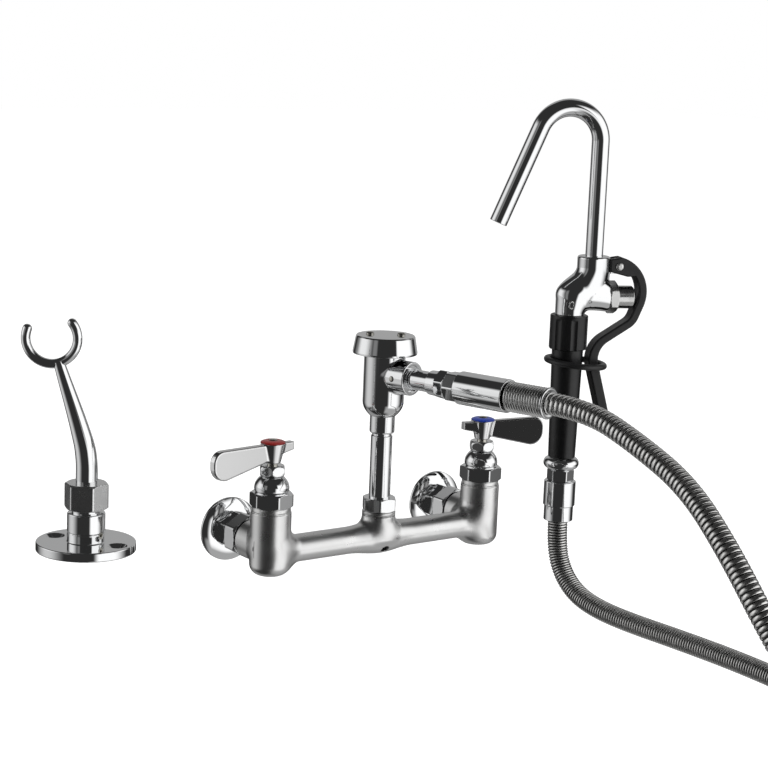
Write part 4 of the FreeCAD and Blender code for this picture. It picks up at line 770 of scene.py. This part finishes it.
# a collar on each post, and the tail of each arm inside the union nut
collarOutline = [(0, 27), (15.5, 27), (15.5, 28.6, 0.3), (15.1, 29), (15.1, 31.8, 0.35), (0, 31.8)]
tailOutline = [(0, 28), (10.4, 28), (10.4, 36), (0, 36)]
collars = []
for across in (-casting.spacing, casting.spacing):
    collars.append(moved(lathe(collarOutline), Matrix.Translation((across, -casting.reach, 0))))
    tailWay = Matrix.Translation((across, 0, 0)) @ Matrix.Rotation(math.radians(90), 4, "X")
    collars.append(moved(lathe(tailOutline), tailWay))
smoothPiece("mixerCasting", castingDistance, (-120, -80.5, -24.5), (120, -33, 30), 0.85, places["wall"],
            "mixer_body", finish="castChrome", shells=collars)
print("casting made")


# valves
packingShape = Sizes(foot=56.3, height=8.2, flat=9.3, belly=10.72, bellyRise=3.9, squash=1.45, edge=0.35)
domeOutline = [(0, 41), (12.8, 41), (12.8, 43.3), (13.5, 47.4, "arc"), (11.75, 52.3), (10.4, 54.1, "arc"),
               (8.6, 55.7), (7.2, 56.1), (7.0, 58), (0, 58)]


def packingDistance(points):
    own = packingShape
    x, y, z = points.T
    z = z - own.foot
    radius = np.hypot(x, y)
    sides = radius * np.cos(folded(np.arctan2(y, x) + math.pi / 6, 6)) - own.flat
    belly = np.hypot(radius, (z - own.bellyRise) * own.squash) - own.belly
    return rounded(rounded(sides, belly, own.edge), most(-z, z - own.height), own.edge)


for side in ("hot", "cold"):
    newPiece(side + "Dome", [hexBar(30, 31.8, 43.3, 47), lathe(domeOutline)], places[side + "Post"],
             side + "_bonnet")
    smoothPiece(side + "PackingNut", packingDistance, (-11.5, -11.5, 55.5), (11.5, 11.5, 65.3), 0.4,
                places[side + "Post"], side + "_packing_nut")
print("valves made")


# lever handles
handleShape = Sizes(
    foot=66.1, top=81.5, hubLow=6.2, hubHigh=9.7, hubEdge=0.5, reach=58, root=2.5,
    bladeTop=81.1, bladeRoot=12.6, slope=13.7, tipUpper=9, tipLower=11, thick=6.4,
    edge=1.5, blend=1.6, stub=[(2.5, 81.1), (-19, 81.1), (-19, 74.5), (2.5, 70.0)],
    stubInset=0.2, stubEdge=1.0, faceTurn={"hot": 5.0, "cold": -27.0},
    # how square to the side a face is, and how far from the axis, where it begins to shade as dished
    flatFrom=(0.72, 0.22), turnFrom=(5, 3.5),
)


def bladeOutline(own):
    slope = math.radians(own.slope)
    top, reach, root = own.bladeTop, own.reach, own.root
    upper, lower = own.tipUpper, own.tipLower
    lowX = reach - lower * (1 + math.sin(slope))
    lowZ = top - own.bladeRoot - (lowX - root) * math.tan(slope)
    centreZ = lowZ + lower * math.cos(slope)
    half = (math.pi / 2 + slope) / 2
    bend = upper * (1 - math.cos(math.pi / 4))
    return drawn([
        (root, top), (reach - upper, top), (reach - bend, top - bend, "arc"), (reach, top - upper),
        (reach, centreZ), (reach - lower * (1 - math.cos(half)), centreZ - lower * math.sin(half), "arc"),
        (lowX, lowZ), (root, top - own.bladeRoot)])


def insideOf(outline, x, z):
    # distance to a closed outline in a plane, below zero inside it
    nearest = np.full(x.shape, 1e9)
    crossings = np.zeros(x.shape, bool)
    for (ax, az), (bx, bz) in zip(outline, outline[1:] + outline[:1]):
        dx, dz = bx - ax, bz - az
        part = np.clip(((x - ax) * dx + (z - az) * dz) / max(dx * dx + dz * dz, 1e-12), 0, 1)
        nearest = least(nearest, np.hypot(x - ax - part * dx, z - az - part * dz))
        if az != bz:
            crossings ^= ((az > z) != (bz > z)) & (x < ax + (z - az) * dx / dz)
    return np.where(crossings, -nearest, nearest)


blade = bladeOutline(handleShape)


def handleDistance(points):
    own = handleShape
    x, y, z = points[:, 0], np.abs(points[:, 1]), points[:, 2]
    side = y - own.thick / 2
    plate = rounded(insideOf(blade, x, z), side, own.edge)
    heel = rounded(insideOf(own.stub, x, z) + own.stubInset, side, own.stubEdge)
    slope = (own.hubHigh - own.hubLow) / (own.top - own.foot)
    girth = own.hubLow + slope * (z - own.foot)
    hub = rounded((np.hypot(x, y) - girth) / math.hypot(1, slope),
                  most(z - own.top, own.foot - z), own.hubEdge)
    return blended(blended(hub, plate, own.blend), heel, own.blend)


def bladeShade(turn):
    # the flat faces away from the hub shade as if slightly dished
    def degrees(points, normals):
        (flat, flatSoft), (start, soft) = handleShape.flatFrom, handleShape.turnFrom
        level = np.clip((np.abs(normals[:, 1]) - flat) / flatSoft, 0, 1)
        return turn * level * np.clip((np.abs(points[:, 0]) - start) / soft, 0, 1)
    return degrees


capOutline = [(2.1, 81.4), (9.6, 81.4, 0.1), (9.6, 82.4, 0.3), (7.6, 83.3, "arc"), (3.7, 83.6), (3.5, 83.0),
              (2.1, 83.0)]
for side in ("hot", "cold"):
    smoothPiece(side + "Handle", handleDistance, (-20, -11, 52), (59.5, 11, 82.5), 0.5,
                places[side + "Lever"], side + "_lever", side + "_handle", finish="satinChrome",
                shade=bladeShade(handleShape.faceTurn[side]))
    newPiece(side + "IndexRing", [lathe(capOutline, 72)], places[side + "Lever"], side + "_index_cap",
             side + "_handle", side + "Enamel")
print("handles made")


# riser and vacuum breaker
riserOutline = [(0, 20), (8.5, 20), (8.5, 77.9, 0.6), (7.7, 78.8), (7.7, 79.9), (9.3, 80.6),
                (9.9, 81.6, 0.4), (9.9, 94.2, 0.3), (0, 94.2)]
hoodOutline = [(0, 156.2), (20.4, 156.2), (23.5, 144.8), (23.5, 143.8), (25.3, 143.8, 0.4),
               (25.5, 145.4, 0.5), (23.4, 157.2, 0.5), (22.7, 158.3, 0.7), (0, 158.7)]
bottleShape = Sizes(
    low=94.2, top=148, girth=16.3, taper=6.1, curve=11.8, power=2.1, edge=0.4,
    outletTurn=-74, outletHeight=127.2, boss=13.3, bossReach=28.1, bossEdge=0.7,
    face=10.7, faceReach=25.9, blend=1.6,
)


def bottleDistance(points):
    # the upright bottle with the outlet's boss, whose face is sunk a little
    own = bottleShape
    x, y, z = points.T
    ended = np.clip((own.low + own.curve - z) / own.curve, 0, 1)
    shell = rounded(np.hypot(x, y) - (own.girth - own.taper * ended ** own.power),
                    most(z - own.top, own.low - z), own.edge)
    east, north = cosSin(own.outletTurn)
    along = x * east + y * north
    girth = np.hypot(y * east - x * north, z - own.outletHeight)
    boss = rounded(girth - own.boss, along - own.bossReach, own.bossEdge)
    face = most(girth - own.face, own.faceReach - along)
    return blended(shell, most(most(boss, -along), -face), own.blend)


newPiece("riserNut", [hexBar(25, 17.5, 28.2, 30)], places["riser"], "riser_nut")
newPiece("riserTube", [lathe(riserOutline)], places["riser"], "riser_pipe")
smoothPiece("breakerBottle", bottleDistance, (-17.5, -33, 93), (22.5, 17.5, 149.5), 0.5, places["riser"],
            "breaker_body")
newPiece("breakerHood", [lathe(hoodOutline, 128)], places["riser"], "breaker_cap")
print("riser and breaker made")


# outlet line
outlet = places["outlet"]
adapterOutline = [(0, 20), (8, 20), (8, 46.8), (9.5, 46.8, 0.3), (9.8, 53.5), (10.2, 56.5), (10.2, 63),
                  (8.2, 63), (8.2, 73), (0, 73)]
ferruleOutline = [(5.6, 75), (12.8, 75, 0.7), (12.8, 119.5, 0.6), (8.2, 119.5), (8.2, 153.6), (10.9, 153.6),
                  (12.1, 154.9, "arc"), (10.9, 156.2), (8.6, 156.2), (5.6, 155.2)]
ferruleShadeZone = Sizes(radius=8.4, low=119, high=153.5)
coilShape = Sizes(radius=10.6, wire=1.8, turns=14, low=119.6, high=153.5, sides=10, steps=40)


def coilShell(own):
    radius, wire, steps = own.radius, own.wire, own.steps
    rise = (own.high - own.low - wire) / own.turns
    rings = []
    for step in range(own.turns * steps + 1):
        angle = 2 * math.pi * step / steps
        out = Vector((math.cos(angle), math.sin(angle), 0))
        middle = Vector((radius * out.x, radius * out.y, own.low + wire / 2 + rise * step / steps))
        up = Vector((-out.y * radius, out.x * radius, rise / (2 * math.pi))).normalized().cross(out)
        rings.append([middle + (out * east + up * north) * (wire / 2) for east, north in circle(own.sides)])
    return ringStack(rings)


newPiece("outletAdapter", [lathe(adapterOutline), hexBar(20.5, 55.5, 64, 42)], outlet, "outlet_adapter")
newPiece("hoseNut", [hexBar(21, 64, 75)], outlet, "hose_nut")
ferrule = newPiece("hoseFerrule", [lathe(ferruleOutline)], outlet, "hose_ferrule")
# painted shade: the ferrule's core under the spring guard takes the near-black metal
ferrule.data.materials.append(finishes["grooveSteel"])
backToOutlet = outlet.inverted()
for face in ferrule.data.polygons:
    spot = backToOutlet @ face.center
    if math.hypot(spot.x, spot.y) < ferruleShadeZone.radius and ferruleShadeZone.low < spot.z < ferruleShadeZone.high:
        face.material_index = 1
newPiece("springGuard", [coilShell(coilShape)], outlet, "spring_guard",
         finish="springSteel", sharp=60, weighted=False)
print("outlet line made")


# hand-piece
hand = places["hand"]
sleeveOutline = [(0, 0), (12.3, 0, 0.5), (12.3, 12.5, 0.15), (13.4, 13.3, 0.3), (13.4, 34.1, 0.7), (0, 34.1)]
endOutline = [(0, 43.5), (9.7, 43.5), (12, 44.9, 0.5), (15, 49.5, "arc"), (12, 54.3, 0.4), (11.2, 54.9),
              (0, 54.9)]
gripOutline = [(8.8, 54.9), (11.4, 54.9, 0.6), (13.1, 146.9), (8.8, 146.9)]
newPiece("hoseEndSleeve", [lathe(sleeveOutline)], hand, "hose_end_sleeve")
newPiece("handleEnd", [hexBar(20, 34.1, 44.1, 8), lathe(endOutline)], hand, "handle_end_fitting")
newPiece("gripSleeve", [lathe(gripOutline)], hand, "grip_sleeve", finish="gripRubber")

collarShape = Sizes(
    flutes=7, turn=12.6, outer=15.8, bore=8.8, cutterPlace=20.9, cutter=6, sides=280,
    # height, radius and depth of the flutes, which run out below the top
    levels=((146.9, 14.6, 1), (147.3, 15.5, 1), (148.0, 15.8, 1), (160, 15.8, 1), (170.5, 15.8, 1),
               (172, 15.8, 0.75), (172.9, 15.8, 0.3), (173.3, 15.8, 0), (175, 15.8, 0), (175.6, 15.5, 0),
               (175.9, 14.8, 0), (175.9, 8.8, 0)),
)


def collarShell(own):
    rings = []
    for height, radius, deep in own.levels:
        ring = []
        for angle in spins(own.sides):
            fold = folded(angle - math.radians(own.turn), own.flutes)
            bend = own.cutter ** 2 - (own.cutterPlace * math.sin(fold)) ** 2
            inner = own.cutterPlace * math.cos(fold) - math.sqrt(bend) if bend > 0 else radius
            size = radius
            if radius > own.bore:
                size = min(radius, radius - (own.outer - min(inner, own.outer)) * deep)
            ring.append((size * math.cos(angle), size * math.sin(angle), height))
        rings.append(ring)
    return ringStack(rings)


newPiece("gripCollar", [collarShell(collarShape)], hand, "grip_collar",
         finish="gripRubber")

valveShape = Sizes(
    tube=12.2, column=12.4, offset=18.7, low=175.9, high=223.9, edge=0.4,
    bendLow=188, bendHigh=216, columnRise=4, columnEdge=0.6, columnBlend=5.0,
    axis=190.9, boss=12.2, waist=1.6, waistLength=12, bossStart=4, face=31.7,
    bossEdge=0.6, bossBlend=6.0, pivotX=39.2, pivotZ=217.3, lug=6.5, lugHalf=3,
    webHalf=6.2, webDrop=0.3, lugEdge=0.4, lugBlend=1.2, sideTurn=8, turnFrom=(5, 8),
)


def valveDistance(points):
    own = valveShape
    x, y, z = points.T
    offset = own.offset
    span = own.bendHigh - own.bendLow
    part = np.clip((z - own.bendLow) / span, 0, 1)
    lean = offset * 6 * part * (1 - part) / span
    neck = np.hypot((x - offset * smoothPart(part)) / np.sqrt(1 + lean ** 2), y) - own.tube
    neck = rounded(neck, most(own.low - z, z - own.high), own.edge)
    below = least(z - own.axis - own.columnRise, 0)
    column = np.sqrt((x - offset) ** 2 + y ** 2 + below ** 2) - own.column
    column = rounded(column, z - own.high, own.columnEdge)
    full = smoothPart(np.clip((x - offset) / own.waistLength, 0, 1))
    before = least(x - own.bossStart, 0)
    boss = (np.sqrt(y ** 2 + (z - own.axis) ** 2 + before ** 2)
            - own.boss + own.waist * (1 - full))
    boss = rounded(boss, x - own.face, own.bossEdge)
    rise = z - own.pivotZ
    side = np.abs(y) - own.lugHalf
    lug = rounded(np.hypot(x - own.pivotX, rise) - own.lug, side, own.lugEdge)
    web = most(np.abs(rise + own.webDrop) - own.webHalf,
                     most(offset - x, x - own.pivotX))
    web = rounded(web, side, own.lugEdge)
    whole = blended(blended(neck, column, own.columnBlend), boss, own.bossBlend)
    return blended(whole, least(lug, web), own.lugBlend)


def bodyShade(points, normals):
    # the cast sides lean a little towards the boss
    start, soft = valveShape.turnFrom
    return valveShape.sideTurn * np.clip((points[:, 0] - start) / soft, 0, 1)


smoothPiece("valveBody", valveDistance, (-14, -14, 174.5), (47, 14, 225.5), 0.5, hand, "valve_body",
            shade=bodyShade)

spoutShape = Sizes(across=18.7, low=212, step=4, bend=319.9, bendRadius=27, turn=157.5,
                   tip=85, outer=7.4, inner=6.2)


def spoutLine(own):
    # up from the body, over the bend and down to the tip
    across, bend, radius = own.across, own.bend, own.bendRadius
    line = [(across, own.low + step * own.step) for step in range(27)] + [(across, bend)]
    for step in range(1, 49):
        east, up = cosSin(own.turn * step / 48)
        line.append((across - radius + radius * east, bend + radius * up))
    x, z = line[-1]
    east, up = cosSin(own.turn)
    for step in range(1, 22):
        line.append((x - up * own.tip * step / 21, z + east * own.tip * step / 21))
    return line


def openTube(line, outer, inner, sides=48):
    # the wall turns in at the tip, so the bore shows
    way = Vector((line[-1][0] - line[-2][0], line[-1][1] - line[-2][1])).normalized()
    backs = [(line[-1][0] - way.x * deep, line[-1][1] - way.y * deep) for deep in (0.35, 0.1)]
    tip = line[:-1] + backs + [line[-1]]
    points, faces = swept(tip, [outer] * (len(tip) - 2) + [outer - 0.1, outer - 0.4], sides)
    for spot in (line[-1], line[-2], line[-8]):
        points += section(spot, Vector((-way.y, 0, way.x)), inner, sides)
    faces = faces[:-1]
    start = len(points) - 4 * sides
    for row in range(3):
        faces += band(start + row * sides, start + (row + 1) * sides, sides)
    faces.append(tuple(range(len(points) - sides, len(points))))
    return points, faces


newPiece("hookSpout", [openTube(spoutLine(spoutShape), spoutShape.outer, spoutShape.inner)], hand,
         "nozzle_tube", sharp=50)

stemOutline = [(0, 30), (10.1, 30), (10.1, 33), (0, 33)]
plungerOutline = [(0, 36.5), (9.6, 36.5), (9.6, 52.9, 0.5), (8.8, 53.8), (4.6, 55.9, "arc"), (0.5, 56.7),
                  (0, 56.7)]
newPiece("plungerNut", [hexBar(24.5, 31.7, 39.2, 30), lathe(stemOutline)], places["actuator"],
         "actuator_nut", finish="castChrome")
newPiece("plungerCap", [lathe(plungerOutline, 72)], places["actuator"], "plunger", "plunger_assembly",
         "plungerSteel")

# the strap's middle line: round the loop, over the shoulder, round the elbow and down the tail
leverShape = Sizes(
    loop=(34.3, 195.0), loopRadius=27.2, loopStart=76.8, loopEnd=35.9, drop=10.4,
    shoulder=14, run=22.4, elbow=20.5, tail=43, tip=4.25, half=3.5,
    headings=(-22, -57.5, -74.5), head=[(47.2, 208.6), (31.2, 212.6), (31.2, 223.3)],
    width=7, edge=1.3, slot=3.3, slotReach=47.1, slotLow=205,
    bodyAcross=18.7, bodyGap=13.2, bodyLow=195,
)


def headingFrom(spot, heading, length):
    east, up = cosSin(heading)
    return (spot[0] + length * east, spot[1] + length * up)


def leverOutline(own):
    upper, slant, down = own.headings
    half, loop, tipRadius = own.half, own.loop, own.tip
    drop = headingFrom(headingFrom(loop, upper, own.loopRadius), upper - 90, own.drop)
    shoulder = headingFrom(drop, upper, -own.shoulder)
    runStart = headingFrom(shoulder, slant, own.shoulder)
    elbow = headingFrom(headingFrom(runStart, slant - 90, own.run), slant, own.elbow)
    tailInner = own.elbow - half
    tip = headingFrom(headingFrom(elbow, down + 270, tailInner + tipRadius), down, own.tail)
    outline = []

    def arc(centre, radius, first, last, lastRadius=None, steps=14):
        for step in range(steps + 1):
            part = step / steps
            size = radius + ((lastRadius or radius) - radius) * part
            outline.append(headingFrom(centre, first + (last - first) * part, size))

    arc(loop, own.loopRadius + half, own.loopStart, upper, steps=24)
    arc(shoulder, own.shoulder + half, upper, slant)
    arc(elbow, tailInner, slant + 180, down + 270)
    arc(tip, tipRadius, down + 90, down - 90)
    arc(elbow, tailInner + 2 * tipRadius, down + 270, slant + 180, own.elbow + half)
    arc(shoulder, own.shoulder - half, slant, upper)
    arc(loop, own.loopRadius - half, upper, own.loopEnd, steps=20)
    return outline + own.head


leverSide = leverOutline(leverShape)


def leverDistance(points):
    own = leverShape
    x, y, z = points.T
    side = np.abs(y)
    plate = rounded(insideOf(leverSide, x, z), side - own.width, own.edge)
    slot = most(most(side - own.slot, x - own.slotReach), own.slotLow - z)
    column = most(np.hypot(x - own.bodyAcross, y) - own.bodyGap, own.bodyLow - z)
    return most(most(plate, -slot), -column)


smoothPiece("squeezeLever", leverDistance, (15, -8, 84.5), (66.5, 8, 226.5), 0.55, hand, "squeeze_lever",
            "squeeze_handle", "leverPlastic")


def ringShell(radius, rod, first=0.0, last=360.0, steps=120, sides=20):
    rings = []
    for step in range(steps + 1):
        out = Vector((*cosSin(first + (last - first) * step / steps), 0))
        rings.append([out * (radius + rod * east) + Vector((0, 0, rod * north))
                      for east, north in circle(sides)])
    return rings


def closedRing(radius, rod):
    rings = ringShell(radius, rod)[:-1]
    points, faces = ringStack(rings)
    count = len(rings[0])
    return points, faces[:-2] + band(len(points) - count, 0, count)


newPiece("holdRing", [closedRing(24, 2.6)], places["holdRing"], "hold_ring", "keeper_ring",
         "leverPlastic", 60, False)
print("hand-piece made")


# deck hook
deckShape = Sizes(
    flange=35.9, thick=6.8, flangeEdge=0.9, post=13.65, postTop=21.2, postLow=-6,
    postEdge=0.8, grooveRadius=13.75, grooveHeight=7, groove=0.42, blend=0.8,
    holeTurn=-205, holeCircle=26.5, hole=3.3, sink=7.2, sinkTop=0.5,
    screwTurn=-210.7, screwHeight=5.8, screw=2.6, screwDepth=8,
    stem=[(0, 20), (10.4, 20), (10.4, 31), (0, 31)],
)


def deckDistance(points):
    own = deckShape
    x, y, z = points.T
    radius = np.hypot(x, y)
    flange = rounded(radius - own.flange, most(z, -own.thick - z), own.flangeEdge)
    groove = np.hypot(radius - own.grooveRadius, z - own.grooveHeight) - own.groove
    post = rounded(radius - own.post, most(z - own.postTop, own.postLow - z),
                   own.postEdge)
    whole = blended(flange, most(post, -groove), own.blend)
    east, north = cosSin(own.holeTurn)
    for way in (-own.holeCircle, own.holeCircle):
        hole = np.hypot(x - way * east, y - way * north)
        cone = most((hole - own.sink - z) / math.sqrt(2), z - own.sinkTop)
        whole = most(most(whole, own.hole - hole), -cone)
    east, north = cosSin(own.screwTurn)
    across = np.hypot(y * east - x * north, z - own.screwHeight)
    screw = most(across - own.screw, own.screwDepth - (x * east + y * north))
    return most(whole, -screw)


smoothPiece("deckFlange", deckDistance, (-37, -37, -8), (37, 37, 22.5), 0.5, places["deck"], "deck_flange",
            shells=[lathe(deckShape.stem)])
newPiece("hookNut", [hexBar(28.3, 24, 43, -36)], places["deck"], "hook_nut", finish="nutChrome")

forkShape = Sizes(centre=(25.9, 146.7), radius=18.35, rod=3.4, first=142, last=380, steps=90, sides=28)
rodShape = Sizes(
    foot=20.0, step=4, radius=7.8, stemLean=17.3, stemReach=17.35, stemRadius=4,
    # across, height, lean from upright and radius
    spots=[(0, 52, 0, 7.8), (1, 65, 8, 7.64), (4.4, 79, 16, 6.94)],
)


def hookRodLine(own):
    line = [(0.0, own.foot + own.step * step) for step in range(9)]
    radii = [own.radius] * 9
    up, across = cosSin(own.stemLean)
    stem = (forkShape.centre[0] - own.stemReach * across,
            forkShape.centre[1] - own.stemReach * up, own.stemLean, own.stemRadius)
    spots = own.spots + [stem]
    for (ax, az, aTurn, aSize), (bx, bz, bTurn, bSize) in zip(spots, spots[1:]):
        reach = math.hypot(bx - ax, bz - az)
        aUp, aAcross = cosSin(aTurn)
        bUp, bAcross = cosSin(bTurn)
        for step in range(1, 13):
            t = step / 12
            h = (2 * t ** 3 - 3 * t ** 2 + 1, (t ** 3 - 2 * t ** 2 + t) * reach, -2 * t ** 3 + 3 * t ** 2,
                 (t ** 3 - t ** 2) * reach)
            line.append((h[0] * ax + h[1] * aAcross + h[2] * bx + h[3] * bAcross,
                         h[0] * az + h[1] * aUp + h[2] * bz + h[3] * bUp))
            radii.append(aSize + (bSize - aSize) * t)
    return line, radii


def forkShell(own):
    # most of a ring with a dome at each tip
    first, last, rod = own.first, own.last, own.rod
    rings = ringShell(own.radius, rod, first, last, own.steps, own.sides)
    domes = []
    for ring, way, turn in ((rings[0], -rod, first), (rings[-1], rod, last)):
        middle = sum((Vector(point) for point in ring), Vector()) / len(ring)
        east, north = cosSin(turn)
        dome = []
        for step in range(1, 7):
            shrink, rise = cosSin(90 * step / 6)
            outward = Vector((-north, east, 0)) * (rise * way)
            dome.append([middle + (Vector(point) - middle) * max(shrink, 0.02) + outward for point in ring])
        domes.append(dome)
    return ringStack(domes[0][::-1] + rings + domes[1])


newPiece("hookRod", [swept(*hookRodLine(rodShape))], places["deck"], "hook_rod", "hook_arm", sharp=50)
newPiece("hookFork", [forkShell(forkShape)], places["fork"], "hook_fork", "hook_arm", sharp=60)
print("deck hook made")
